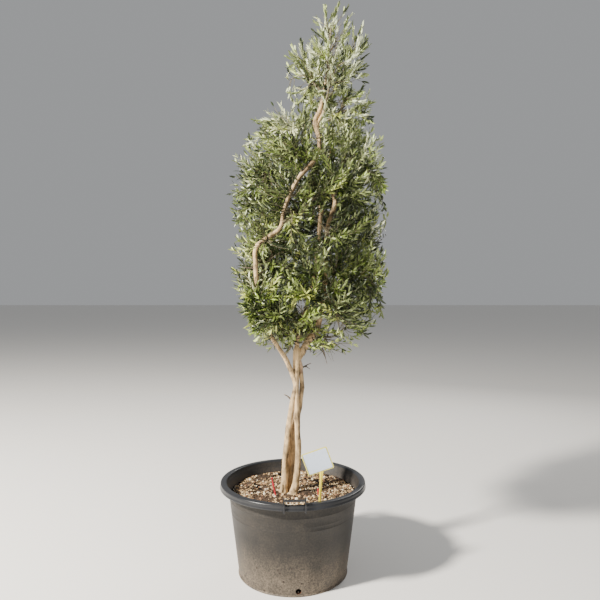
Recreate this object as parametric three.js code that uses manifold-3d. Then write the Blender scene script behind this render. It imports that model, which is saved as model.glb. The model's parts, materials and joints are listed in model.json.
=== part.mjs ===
// A potted olive tree: a round growing tub filled with soil, three slender stems that lean on each
// other, the leaders that wind up out of their fork, and the masses of foliage that they carry.
// Millimetres, +Z up. The origin is the middle of the tub's flat underside, and the tree is seen
// from the -Y side, with +X to the right.

import * as THREE from "three";
import { mergeVertices } from "three/addons/utils/BufferGeometryUtils.js";
import Module from "manifold-3d";

const wasm = await Module();
wasm.setup();

// Clearances
const GAP = 0.3; // between pieces that touch
const SPACE_MARGIN = 0.6; // from a mass of foliage to the border of its own space
const LIMB_MARGIN = 3; // from a twig or a leaf to the limbs that it grows past
const SLIVER = 0.01; // slivers finer than this are evened out
const CLEARANCE_SAMPLES = 12; // places along a twig or a leaf where its clearance is measured

// The tub
const TUB_HEIGHT = 473;
const RIM_RADIUS = 380;
const RIM_INNER_RADIUS = 346;
const LIP_HEIGHT = 29;
const LIP_THICKNESS = 4;
const LIP_FLARE = 2;
const NECK_RADIUS = 338; // outside of the wall, just under the lip
const BASE_RADIUS = 282;
const FOOT_HEIGHT = 8;
const FOOT_LEDGE = 3;
const CORNER_HEIGHT = 34; // where the rounded lower edge runs into the straight wall
const INNER_CORNER = 4; // how far the floor stops short of the wall inside
const WALL = 5;
const EDGE = 2; // the small roundings of the rim and the foot
const BEAD_HEIGHT = 9; // the thicker lower edge of the lip
const TUB_SIDES = 36;
const DRAIN_COUNT = 4;
const DRAIN_RADIUS = 14;
const DRAIN_LENGTH = 60;
const DRAIN_SIDES = 12;
const DRAIN_HEIGHT = 27;
const DRAIN_TURN = 6; // degrees from the front to the first hole

// The two grips on the rim
const GRIP_TURN = 2; // degrees from the front
const GRIP_SPAN = 100; // between the middles of the two fins
const GRIP_RISE = 27; // above the rim
const GRIP_DROP = 7; // below the lip
const FIN_THICKNESS = 7;
const FIN_LAP = 7; // outside the lip
const GRIP_BAR = 10;
const GRIP_SET_BACK = 4; // from the inner edge of the rim to the fins
const NOTCH_DEPTH = 11;

// The soil
const SOIL_LEVEL = 415;

// The label and the two irrigation pegs
const CARD_WIDTH = 122;
const CARD_HEIGHT = 98;
const CARD_THICKNESS = 1.5;
const CARD_CENTRE = [122, -230, 632];
const CARD_ROLL = 21; // degrees, right side up
const CARD_YAW = -8;
const FRAME_BORDER = 5;
const FRAME_THICKNESS = 3;
const STAKE_TOP_WIDTH = 30;
const STAKE_WIDTH = 12;
const STAKE_DEPTH = 4;
const STAKE_STEPS = 4;
const STAKE_FOOT = [130, -230];
const PEG_RADIUS = 4.5;
const PEG_HEAD_RADIUS = 3.2;
const PEG_SIDES = 8;
const PEGS = [
  { name: "drip_peg_left", foot: [-87, -92], head: [-107, -92, 509] },
  { name: "drip_peg_right", foot: [131, -80], head: [129, -80, 448] },
];

// The limbs. Each route is a short list of places where the limb changes course, from its root to
// its tip, with the limb's radius at each. A spur is a short dead or broken side twig: how far along
// the limb it stands, its tip and its radius.
const LIMB_SIDES = 8;
const STEPS_PER_BEND = 2;
const SPUR_SIDES = 5;
const SPUR_STEPS = 2;
const SPUR_TAPER = 0.5;
const LIMBS = {
  stem_main: {
    route: [[3, -66, SOIL_LEVEL + GAP], [14, -64, 468], [27, -56, 597], [23, -48, 766], [16, -40, 951],
      [19, -30, 1130]],
    radii: [25, 17.5, 15.5, 14.5, 14, 19],
    spurs: [],
  },
  stem_left: {
    route: [[-49, -40, SOIL_LEVEL + GAP], [-44, -38, 480], [-38, -36, 590], [-22, -40, 735], [-8, -45, 854],
      [10, -46, 950]],
    radii: [24, 17, 16, 14, 12, 9],
    spurs: [{ at: 0.86, tip: [-52, -52, 905], radius: 4.5 }],
  },
  stem_back: {
    route: [[-14, 6, SOIL_LEVEL + GAP], [-12, 2, 480], [-6, 0, 600], [10, -2, 730], [36, -8, 862],
      [47, -10, 980], [33, -20, 1095]],
    radii: [18, 13, 12, 12, 11.5, 11.5, 12],
    spurs: [
      { at: 0.9, tip: [88, -2, 1070], radius: 4.5 },
      { at: 0.87, tip: [86, -14, 1038], radius: 4 },
    ],
  },
  bough_left: {
    route: [[8, -44, 1000], [-20, -56, 1074], [-45, -70, 1125], [-104, -100, 1220], [-170, -140, 1363],
      [-176, -165, 1492]],
    radii: [13, 12.5, 12, 11, 11, 11.5],
    spurs: [],
  },
  leader_left: {
    route: [[-176, -165, 1487], [-183, -172, 1590], [-174, -175, 1682], [-66, -155, 1768], [-42, -142, 1866],
      [20, -110, 2014], [108, -70, 2128], [137, -59, 2184]],
    radii: [11.5, 11.2, 11.5, 10, 9.5, 11.5, 11, 9.5],
    spurs: [{ at: 0.12, tip: [-246, -182, 1575], radius: 3.5 }],
  },
  leader_top: {
    route: [[137, -59, 2179], [136, -52, 2240], [123, -45, 2310], [119, -40, 2348], [146, -30, 2420],
      [172, -12, 2570]],
    radii: [9.5, 9.5, 15.5, 13, 10, 6],
    spurs: [],
  },
  branch_top: {
    route: [[123, -44, 2318], [146, -46, 2362], [170, -44, 2412]],
    radii: [7, 6.5, 6],
    spurs: [],
  },
  bough_right: {
    route: [[24, -26, 1095], [58, -14, 1160], [84, 0, 1203], [122, 15, 1254], [160, 24, 1400],
      [172, 10, 1571], [171, 0, 1713]],
    radii: [16, 18, 19, 18, 13, 11, 10],
    spurs: [],
  },
  leader_right: {
    route: [[171, 0, 1708], [186, -5, 1814], [215, -8, 1900], [218, -5, 1940], [190, 10, 2040],
      [196, 40, 2210]],
    radii: [10, 9.4, 12.8, 11, 9, 6],
    spurs: [],
  },
  leader_centre: {
    route: [[19, -30, 1120], [27, -18, 1230], [66, -10, 1361], [103, -20, 1490], [125, -36, 1650],
      [145, -50, 1868]],
    radii: [12, 11, 10.5, 10.5, 10.5, 10],
    spurs: [
      { at: 0.985, tip: [134, -52, 1898], radius: 4.5 },
      { at: 0.985, tip: [162, -48, 1896], radius: 4 },
    ],
  },
};

// The crown's outline: one rounded body for the main crown, and smaller ones for its top, for its
// right shoulder and for the spray that hangs low on the right. "radii" are the half sizes of a body
// along X, Y and Z.
const ROUNDNESS = 3; // 2 is an ellipsoid, more is boxier
const CROWN = { centre: [93, 0, 1780], radii: [402, 375, 650] };
const CROWN_MASSES = 15;
const CROWN_SPREAD = 0.56; // share of the crown's half width at which its masses stand
const CROWN_STRETCH = 0.84; // share of its half height that their centres span
const CROWN_TURN = 250; // degrees, where the spiral of masses starts
const CROWN_RISE = 0.2; // how far twigs bow up, as a share of their length
const CROWN_SIZE = 190;
const OWN_MASSES = [
  { name: "foliage_top_spire", centre: [200, -10, 2812], radii: [102, 105, 172], rise: 0.1 },
  { name: "foliage_top_left", centre: [68, -15, 2605], radii: [108, 115, 155], rise: 0.2 },
  { name: "foliage_top_right", centre: [300, 0, 2675], radii: [92, 120, 242], rise: 0.1 },
  { name: "foliage_top_front", centre: [200, -130, 2580], radii: [130, 105, 150], rise: 0.2 },
  { name: "foliage_top_back", centre: [175, 145, 2590], radii: [145, 120, 170], rise: 0.2 },
  { name: "foliage_shoulder_right", centre: [270, -40, 2390], radii: [140, 140, 130], rise: 0.1 },
  { name: "foliage_low_right", centre: [200, -30, 1190], radii: [125, 120, 110], rise: -0.15 },
];

// Where the photographed tree shows a limb bare, nothing grows in front of it: the limb, and the
// heights between which it shows.
const BARE_LIMBS = [
  { limb: "leader_left", from: 1500, to: 2150 },
  { limb: "leader_top", from: 2190, to: 2440 },
  { limb: "leader_right", from: 1760, to: 1960 },
  { limb: "leader_centre", from: 1690, to: 1900 },
];
const BARE_MARGIN = 14;
const BARE_SHARES = [0.35, 0.7, 1]; // places along a leaf where it is looked at from the front

// Stems, twigs and leaves
const FIRST_SEED = 11;
const STEM_SIDES = 4;
const STEM_STEPS = 3;
const STEM_RADII = [8, 6];
const STEM_FOOT = 0.5; // how far below the middle of its mass a stem looks for a limb, in mass sizes
const STEM_HEAD = 0.25; // how far above the middle it ends
const STEM_SAG = 0.12; // how far it bows down on its way, as a share of its length
const STEM_FREE = 0.6; // share of its first step that may still lie beside its limb
const STEM_ROOT_SPACING = 40; // between the roots of two stems on a limb
const SPOTS_PER_LIMB = 20; // where stems may leave a limb
const BOUGH_BARE = 0.3; // share of a bough that bears none
const LEADER_BARE = 0.05;
const TWIGS_PER_MASS = 5;
const TWIG_REACH = [0.6, 0.8]; // share of the way to the skin of the mass's space
const TWIG_ROOTS = [0.45, 0.95]; // share of the stem where its lowest and its highest twig leave it
const ROOT_STEP = 0.05;
const TWIG_SIDES = 3;
const TWIG_STEPS = 2;
const TWIG_RADII = [3.2, 2.4];
const LEAVES_PER_TWIG = 6;
const FIRST_LEAF = 0.24; // share of the twig below its first leaf
const LEAF_LENGTH = 165; // one modelled leaf stands for a small spray
const LEAF_WIDTH = 70;
const LEAF_THICKNESS = 3;
const LEAF_WIDEST = 0.48; // share of the length
const LEAF_NECK = 0.12; // share of the length that is left out where leaves are kept from crossing
const LEAF_ANGLE = 52; // degrees off its twig
const END_LEAF_ANGLE = 8;
const LEAF_SIZES = [0.88, 1.12];
const LEAF_ATTEMPTS = 9; // ways that a leaf is tried in, each turned on, closer in and shorter
const ATTEMPT_TURN = 0.9;
const ATTEMPT_CLOSING = 0.08;
const ATTEMPT_SHORTENING = 0.05;
const REACH_STEP = 4;
const GOLDEN_ANGLE = Math.PI * (3 - Math.sqrt(5));

const UP = new THREE.Vector3(0, 0, 1);
const degrees = THREE.MathUtils.degToRad;
const vector = (place) => new THREE.Vector3(...place);
const { clamp, lerp } = THREE.MathUtils;

// Turns a closed three.js geometry into a solid.
function solidOf(geometry) {
  const bare = geometry.clone();
  bare.deleteAttribute("normal");
  bare.deleteAttribute("uv");
  const welded = mergeVertices(bare);
  const vertProperties = new Float32Array(welded.attributes.position.array);
  const triVerts = new Uint32Array(welded.index.array);
  return new wasm.Manifold(new wasm.Mesh({ numProp: 3, vertProperties, triVerts }));
}

// Turns a solid back into a geometry.
function geometryOf(solid) {
  const mesh = solid.getMesh();
  const geometry = new THREE.BufferGeometry();
  geometry.setAttribute("position", new THREE.BufferAttribute(new Float32Array(mesh.vertProperties), 3));
  geometry.setIndex(new THREE.BufferAttribute(new Uint32Array(mesh.triVerts), 1));
  geometry.computeVertexNormals();
  return geometry;
}

// Keeps the largest piece of a solid and drops loose scraps and sealed hollows.
function onePiece(solid) {
  const pieces = solid.simplify(SLIVER).decompose();
  return pieces.reduce((best, piece) => (piece.volume() > best.volume() ? piece : best));
}

// Moves every vertex of a geometry to where place(x, y, z) says.
function reshape(geometry, place) {
  const position = geometry.attributes.position;
  for (let i = 0; i < position.count; i += 1) {
    const moved = place(position.getX(i), position.getY(i), position.getZ(i));
    position.setXYZ(i, moved.x, moved.y, moved.z);
  }
  return geometry;
}

function box(width, depth, height, x, y, z) {
  return new THREE.BoxGeometry(width, depth, height).translate(x, y, z);
}

// The way that a limb, stem or twig takes: a curve through its route in straight steps, with its
// radius at any share of the way.
function course(route, radii, steps) {
  const curve = new THREE.CatmullRomCurve3(route.map(vector), false, "catmullrom", 0.5);
  const rings = curve.getPoints(steps);
  const span = radii.length - 1;
  const stepAt = (t) => Math.min(Math.floor(t * steps), steps - 1);
  return {
    curve,
    rings,
    steps,
    radiusAt(t) {
      const first = Math.min(Math.floor(t * span), span - 1);
      return lerp(radii[first], radii[first + 1], t * span - first);
    },
    pointAt(t) {
      return rings[stepAt(t)].clone().lerp(rings[stepAt(t) + 1], t * steps - stepAt(t));
    },
    directionAt(t) {
      return rings[stepAt(t) + 1].clone().sub(rings[stepAt(t)]).normalize();
    },
  };
}

// Bends a cylinder of unit size along a course. "grow" makes it that much fatter and longer.
function tube(path, sides, grow = 0) {
  const chord = path.rings[path.steps].clone().sub(path.rings[0]).normalize();
  const side = Math.abs(chord.y) < 0.8 ? new THREE.Vector3(0, 1, 0) : new THREE.Vector3(1, 0, 0);
  const unit = new THREE.CylinderGeometry(1, 1, 1, sides, path.steps);
  return solidOf(reshape(unit, (x, y, z) => {
    const t = clamp(y + 0.5, 0, 1);
    const along = path.curve.getTangent(t);
    const across = side.clone().addScaledVector(along, -side.dot(along)).normalize();
    const third = across.clone().cross(along);
    const radius = path.radiusAt(t) + grow;
    const lengthen = t === 0 ? -grow : t === 1 ? grow : 0;
    return path.curve.getPoint(t)
      .addScaledVector(across, x * radius)
      .addScaledVector(third, z * radius)
      .addScaledVector(along, lengthen);
  }));
}

// The outside of the tub's straight wall at a height.
function wallRadius(height) {
  const slope = (NECK_RADIUS - BASE_RADIUS) / (TUB_HEIGHT - LIP_HEIGHT - FOOT_HEIGHT);
  return BASE_RADIUS + (height - FOOT_HEIGHT) * slope;
}

// Turns an outline of radii and heights about the tub's axis.
function turned(outline) {
  const profile = outline.map(([radius, height]) => new THREE.Vector2(radius, height));
  return solidOf(new THREE.LatheGeometry(profile, TUB_SIDES).rotateX(Math.PI / 2));
}

// The tub: one moulded shell turned about its axis, with its drain holes and the two notches that
// the grips leave open in the flange.
function makeTub() {
  const lipFoot = TUB_HEIGHT - LIP_HEIGHT;
  const lipFace = RIM_RADIUS - LIP_FLARE;
  const lipBack = lipFace - LIP_THICKNESS;
  let tub = turned([
    [0, 0],
    [BASE_RADIUS - FOOT_LEDGE, 0],
    [BASE_RADIUS + FOOT_LEDGE, EDGE],
    [BASE_RADIUS + FOOT_LEDGE, FOOT_HEIGHT - EDGE],
    [BASE_RADIUS, FOOT_HEIGHT],
    [wallRadius(CORNER_HEIGHT), CORNER_HEIGHT],
    [NECK_RADIUS, lipFoot + EDGE],
    [RIM_INNER_RADIUS + WALL, TUB_HEIGHT - WALL],
    [lipBack, TUB_HEIGHT - WALL],
    [RIM_RADIUS - LIP_THICKNESS, lipFoot],
    [RIM_RADIUS, lipFoot],
    [lipFace, lipFoot + BEAD_HEIGHT],
    [lipFace, TUB_HEIGHT - EDGE],
    [lipFace - EDGE, TUB_HEIGHT],
    [RIM_INNER_RADIUS + EDGE, TUB_HEIGHT],
    [RIM_INNER_RADIUS, TUB_HEIGHT - EDGE],
    [NECK_RADIUS - WALL, lipFoot + EDGE],
    [wallRadius(CORNER_HEIGHT) - WALL, CORNER_HEIGHT],
    [BASE_RADIUS - WALL - INNER_CORNER, WALL],
    [0, WALL],
  ]);
  for (let i = 0; i < DRAIN_COUNT; i += 1) {
    const turn = degrees(DRAIN_TURN + (i * 360) / DRAIN_COUNT);
    const hole = new THREE.CylinderGeometry(DRAIN_RADIUS, DRAIN_RADIUS, DRAIN_LENGTH, DRAIN_SIDES);
    hole.translate(0, -BASE_RADIUS, DRAIN_HEIGHT).rotateZ(turn);
    tub = tub.subtract(solidOf(hole));
  }
  for (const half of [0, 180]) {
    const width = GRIP_SPAN - FIN_THICKNESS;
    const outer = lipBack - EDGE;
    const inner = NECK_RADIUS - 2 * WALL;
    const notch = box(width, outer - inner, 2 * NOTCH_DEPTH, 0, -(outer + inner) / 2, TUB_HEIGHT);
    tub = tub.subtract(solidOf(notch.rotateZ(degrees(GRIP_TURN + half))));
  }
  return onePiece(tub);
}

// The soil: one plug that fills the tub, a hair clear of its wall.
function makeSoil() {
  const clear = WALL + 2 * GAP;
  return turned([
    [0, WALL + GAP],
    [BASE_RADIUS - INNER_CORNER - clear, WALL + GAP],
    [wallRadius(CORNER_HEIGHT) - clear, CORNER_HEIGHT],
    [wallRadius(SOIL_LEVEL) - clear, SOIL_LEVEL],
    [0, SOIL_LEVEL],
  ]);
}

// A grip: two upright fins that stand on the flange and lap over the lip, and the bar between them.
function makeGrip(turn) {
  const top = TUB_HEIGHT + GRIP_RISE;
  const seat = TUB_HEIGHT + GAP;
  const lipFace = RIM_RADIUS + GAP;
  const outer = lipFace + FIN_LAP;
  const inner = RIM_INNER_RADIUS + GRIP_SET_BACK;
  const foot = TUB_HEIGHT - LIP_HEIGHT - GRIP_DROP;
  const pieces = [];
  for (const side of [-1, 1]) {
    const x = (side * GRIP_SPAN) / 2;
    pieces.push(box(FIN_THICKNESS, outer - inner, top - seat, x, -(outer + inner) / 2, (top + seat) / 2));
    pieces.push(box(FIN_THICKNESS, FIN_LAP, top - foot, x, -(outer + lipFace) / 2, (top + foot) / 2));
  }
  pieces.push(box(GRIP_SPAN, GRIP_BAR, GRIP_BAR, 0, -(outer - GRIP_BAR / 2), top - GRIP_BAR / 2));
  return onePiece(wasm.Manifold.union(pieces.map((piece) => solidOf(piece.rotateZ(degrees(turn))))));
}

// The label card in its own place, and the frame with the stake that carries it.
function labelPlace() {
  const turn = new THREE.Euler(0, degrees(-CARD_ROLL), degrees(CARD_YAW), "ZYX");
  return new THREE.Matrix4().makeRotationFromEuler(turn).setPosition(vector(CARD_CENTRE));
}

function makeCard() {
  const front = -(FRAME_THICKNESS + CARD_THICKNESS) / 2 - GAP;
  const card = box(CARD_WIDTH, CARD_THICKNESS, CARD_HEIGHT, 0, front, 0);
  return solidOf(card.applyMatrix4(labelPlace()));
}

function makeHolder() {
  const width = CARD_WIDTH + 2 * FRAME_BORDER;
  const height = CARD_HEIGHT + 2 * FRAME_BORDER;
  const back = box(width, FRAME_THICKNESS, height, 0, 0, 0);
  const lipWidth = FRAME_BORDER - GAP;
  const lip = box(lipWidth, 2 * FRAME_THICKNESS, height, (lipWidth - width) / 2, -FRAME_THICKNESS, 0);
  const place = labelPlace();
  const plate = solidOf(back.applyMatrix4(place));
  const edge = solidOf(lip.applyMatrix4(place));
  const neck = new THREE.Vector3(0, 0, -(CARD_HEIGHT + FRAME_BORDER) / 2).applyMatrix4(place);
  const level = new THREE.Vector3(1, 0, 0);
  const tilted = level.clone().transformDirection(place);
  const foot = new THREE.Vector3(...STAKE_FOOT, SOIL_LEVEL + GAP);
  const bar = new THREE.BoxGeometry(1, STAKE_DEPTH, 1, 1, 1, STAKE_STEPS);
  const stake = solidOf(reshape(bar, (x, y, z) => {
    const middle = foot.clone().lerp(neck, z + 0.5);
    const breadth = lerp(STAKE_WIDTH, STAKE_TOP_WIDTH, Math.max(0, 2 * z));
    const across = level.clone().lerp(tilted, z + 0.5).normalize();
    middle.y += y;
    return middle.addScaledVector(across, x * breadth);
  }));
  return onePiece(wasm.Manifold.union([plate, edge, stake]));
}

function makePeg(peg) {
  const path = course([[...peg.foot, SOIL_LEVEL], peg.head], [PEG_RADIUS, PEG_HEAD_RADIUS], 1);
  return tube(path, PEG_SIDES).trimByPlane([0, 0, 1], SOIL_LEVEL + GAP);
}

// The limbs: each is one tapering tube with its spurs, cut 0.3 mm clear of the limbs made before it.
function makeLimbs() {
  const limbs = {};
  for (const [name, limb] of Object.entries(LIMBS)) {
    const path = course(limb.route, limb.radii, (limb.route.length - 1) * STEPS_PER_BEND);
    let solid = tube(path, LIMB_SIDES);
    for (const spur of limb.spurs) {
      const radii = [spur.radius, spur.radius * SPUR_TAPER];
      const way = course([path.pointAt(spur.at).toArray(), spur.tip], radii, SPUR_STEPS);
      solid = solid.add(tube(way, SPUR_SIDES));
    }
    solid = solid.trimByPlane([0, 0, 1], SOIL_LEVEL + GAP);
    for (const earlier of Object.values(limbs)) {
      solid = solid.subtract(earlier.grown);
    }
    limbs[name] = { path, solid: onePiece(solid), grown: tube(path, LIMB_SIDES, GAP) };
  }
  return limbs;
}

// A repeatable stream of numbers from 0 to 1.
function seeded(seed) {
  let state = seed >>> 0;
  return () => {
    state = (state + 0x6d2b79f5) >>> 0;
    let mixed = Math.imul(state ^ (state >>> 15), state | 1);
    mixed ^= mixed + Math.imul(mixed ^ (mixed >>> 7), mixed | 61);
    return ((mixed ^ (mixed >>> 14)) >>> 0) / 4294967296;
  };
}

// Whether a point lies in a rounded body.
function inBody(body, point) {
  const shares = body.radii.map((radius, axis) => (
    Math.abs((point.getComponent(axis) - body.centre[axis]) / radius) ** ROUNDNESS
  ));
  return shares[0] + shares[1] + shares[2] <= 1;
}

// The masses: those of the main crown stand on a rising spiral and share its body, the others each
// have their own. "size" is what a mass's space is measured by against its neighbours'.
function listMasses() {
  const masses = OWN_MASSES.map((mass) => ({ ...mass, body: mass, size: Math.min(...mass.radii) }));
  for (let i = 0; i < CROWN_MASSES; i += 1) {
    const share = (2 * i + 1) / CROWN_MASSES - 1;
    const width = CROWN_SPREAD * (1 - Math.abs(share) ** ROUNDNESS) ** (1 / ROUNDNESS);
    const turn = degrees(CROWN_TURN) + i * GOLDEN_ANGLE;
    const centre = [
      CROWN.centre[0] + Math.cos(turn) * width * CROWN.radii[0],
      CROWN.centre[1] + Math.sin(turn) * width * CROWN.radii[1],
      CROWN.centre[2] + share * CROWN_STRETCH * CROWN.radii[2],
    ];
    const name = `foliage_crown_${String(i + 1).padStart(2, "0")}`;
    masses.push({ name, centre, body: CROWN, size: CROWN_SIZE, rise: CROWN_RISE });
  }
  return masses;
}

// The space of a mass: its body, cut flat where a neighbour's space begins. It is convex, so a twig
// or a leaf whose corners are inside is inside. "reach" is how far it goes along a direction.
function spaceOf(mass, masses) {
  const centre = vector(mass.centre);
  const walls = masses.filter((other) => other !== mass).map((other) => {
    const towards = vector(other.centre).sub(centre);
    const share = mass.size / (mass.size + other.size);
    const limit = share * towards.length() - SPACE_MARGIN;
    return { towards: towards.normalize(), limit };
  });
  const inside = (point) => {
    const local = point.clone().sub(centre);
    return inBody(mass.body, point) && walls.every((wall) => local.dot(wall.towards) <= wall.limit);
  };
  const reach = (direction) => {
    let distance = 0;
    while (inside(centre.clone().addScaledVector(direction, distance + REACH_STEP))) {
      distance += REACH_STEP;
    }
    return distance;
  };
  return { centre, reach, inside };
}

// The straight steps of a course, each with its radius, to measure distances to.
function piecesOf(path) {
  return path.rings.slice(1).map((end, i) => ({
    line: new THREE.Line3(path.rings[i], end),
    radius: Math.max(path.radiusAt(i / path.steps), path.radiusAt((i + 1) / path.steps)),
  }));
}

// Whether a straight piece of a twig or a leaf, that thick, stays clear of the given limbs.
function clearOf(obstacles, part, halfWidth) {
  const nearest = new THREE.Vector3();
  for (let i = 0; i <= CLEARANCE_SAMPLES; i += 1) {
    const point = part.at(i / CLEARANCE_SAMPLES, new THREE.Vector3());
    for (const { line, radius } of obstacles) {
      line.closestPointToPoint(point, true, nearest);
      if (nearest.distanceTo(point) < radius + halfWidth + LIMB_MARGIN) {
        return false;
      }
    }
  }
  return true;
}

// Whether a point lies right in front of a limb that shows bare, as seen from the front.
function hidesLimb(bare, point) {
  const nearest = new THREE.Vector3();
  return bare.some(({ line, radius }) => {
    const beside = new THREE.Vector3(point.x, line.start.y, point.z);
    line.closestPointToPoint(beside, true, nearest);
    const apart = Math.hypot(nearest.x - point.x, nearest.z - point.z);
    return point.y < nearest.y && apart < radius + BARE_MARGIN;
  });
}

// The stems of all masses. Each leaves the nearest limb at a wide angle and rises into the middle of
// its mass. Where that spot is taken, or the way is blocked, it leaves from the next nearest one.
function placeStems(masses, limbs) {
  const spots = [];
  for (const [name, limb] of Object.entries(limbs)) {
    if (!name.startsWith("stem")) {
      const first = name.startsWith("bough") ? BOUGH_BARE : LEADER_BARE;
      for (let i = 0; i <= SPOTS_PER_LIMB; i += 1) {
        spots.push(limb.path.pointAt(lerp(first, 1, i / SPOTS_PER_LIMB)));
      }
    }
  }
  const limbPieces = Object.values(limbs).flatMap((limb) => piecesOf(limb.path));
  const stems = [];
  for (const mass of masses) {
    const head = vector(mass.centre);
    const foot = head.clone();
    foot.z -= STEM_FOOT * mass.size;
    head.z += STEM_HEAD * mass.size;
    const taken = stems.flatMap((stem) => piecesOf(stem));
    const roots = stems.map((stem) => stem.rings[0]);
    const near = [...spots].sort((a, b) => a.distanceTo(foot) - b.distanceTo(foot));
    const ways = near.filter((spot) => roots.every((root) => root.distanceTo(spot) > STEM_ROOT_SPACING));
    const stem = ways.map((root) => {
      const bend = root.clone().lerp(head, 0.5);
      bend.z -= STEM_SAG * root.distanceTo(head);
      return course([root.toArray(), bend.toArray(), head.toArray()], STEM_RADII, STEM_STEPS);
    }).find((way) => {
      const [start, ...rest] = piecesOf(way);
      const beyond = new THREE.Line3(start.line.at(STEM_FREE, new THREE.Vector3()), start.line.end);
      return clearOf(taken, start.line, start.radius)
        && clearOf(limbPieces, beyond, start.radius)
        && rest.every((piece) => clearOf([...limbPieces, ...taken], piece.line, piece.radius));
    });
    stems.push(stem);
  }
  return stems;
}

// A leaf: a slim blade with a keel under it, six faces from its root to its tip, its broad side
// turned away from the twig. "blade" is its flat outline as two triangles, and "edges" the sides of
// that outline, both from a little way out of the twig.
function leafOf(root, along, away, length) {
  const across = away.clone().cross(along).normalize();
  const flat = across.clone().cross(along).normalize();
  const place = (share, side, rise) => root.clone()
    .addScaledVector(along, share * length)
    .addScaledVector(across, (side * LEAF_WIDTH) / 2)
    .addScaledVector(flat, (rise * LEAF_THICKNESS) / 2);
  const shape = reshape(new THREE.SphereGeometry(1, 3, 2), (x, y, z) => {
    const share = Math.abs(y) > 0.5 ? (y + 1) / 2 : LEAF_WIDEST;
    return place(share, Math.round(z * 1.2), Math.abs(y) > 0.5 ? 0 : -x);
  });
  const neck = place(LEAF_NECK, 0, 0);
  const tip = place(1, 0, 0);
  const left = place(LEAF_WIDEST, -1, 0);
  const right = place(LEAF_WIDEST, 1, 0);
  const edges = [[neck, left], [left, tip], [tip, right], [right, neck]];
  return {
    shape,
    tip,
    blade: [[neck, left, tip], [neck, tip, right]],
    edges: edges.map(([start, end]) => new THREE.Line3(start, end)),
  };
}

// Whether any of the edges passes through the blade.
function pierces(edges, blade) {
  const hit = new THREE.Vector3();
  return edges.some((edge) => {
    const ray = new THREE.Ray(edge.start, edge.end.clone().sub(edge.start).normalize());
    return blade.some(([a, b, c]) => (
      ray.intersectTriangle(a, b, c, false, hit) !== null && hit.distanceTo(edge.start) <= edge.distance()
    ));
  });
}

function cross(one, other) {
  return pierces(one.edges, other.blade) || pierces(other.edges, one.blade);
}

function cornersOf(geometry) {
  const position = geometry.attributes.position;
  return Array.from({ length: position.count }, (_, i) => new THREE.Vector3().fromBufferAttribute(position, i));
}

// A twig runs from the stem towards the skin of the mass's space, and stops short of it.
function twigOf(mass, stem, space, index, random) {
  const height = 1 - (2 * (index + 0.5)) / TWIGS_PER_MASS;
  const turn = index * GOLDEN_ANGLE + random() * Math.PI;
  const ring = Math.sqrt(1 - height * height);
  const direction = new THREE.Vector3(Math.cos(turn) * ring, Math.sin(turn) * ring, height);
  const share = lerp(...TWIG_REACH, random());
  const end = space.centre.clone().addScaledVector(direction, share * space.reach(direction));
  let root = lerp(...TWIG_ROOTS, (height + 1) / 2);
  while (root < 1 && !space.inside(stem.pointAt(root))) {
    root += ROOT_STEP;
  }
  const start = stem.pointAt(Math.min(root, 1));
  const middle = start.clone().lerp(end, 0.5);
  middle.z += mass.rise * start.distanceTo(end);
  return course([start.toArray(), middle.toArray(), end.toArray()], TWIG_RADII, TWIG_STEPS);
}

// Adds the leaves of a twig, each a golden angle on round the twig from the one before, and one at
// its end. A leaf that doesn't fit is turned on round the twig, and is skipped if it fits nowhere.
function addLeaves(twig, leaves, fits, random) {
  const firstTurn = random() * Math.PI;
  const places = [];
  for (let i = 0; i < LEAVES_PER_TWIG; i += 1) {
    const share = i / (LEAVES_PER_TWIG - 1);
    const at = lerp(FIRST_LEAF, 1, share);
    const angle = lerp(LEAF_ANGLE, END_LEAF_ANGLE, share ** 4);
    places.push({ at, turn: firstTurn + i * GOLDEN_ANGLE, angle: degrees(angle) });
  }
  for (const { at, turn, angle } of places) {
    const along = twig.directionAt(at);
    const side = UP.clone().cross(along).normalize();
    const root = twig.pointAt(at);
    const size = lerp(...LEAF_SIZES, random());
    for (let attempt = 0; attempt < LEAF_ATTEMPTS; attempt += 1) {
      const away = side.clone().applyAxisAngle(along, turn + attempt * ATTEMPT_TURN);
      const opening = angle * (1 - ATTEMPT_CLOSING * attempt);
      const length = LEAF_LENGTH * size * (1 - ATTEMPT_SHORTENING * attempt);
      const direction = along.clone().multiplyScalar(Math.cos(opening));
      direction.addScaledVector(away, Math.sin(opening));
      const leaf = leafOf(root, direction, away, length);
      if (fits(leaf, root)) {
        leaves.push(leaf);
        break;
      }
    }
  }
}

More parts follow.
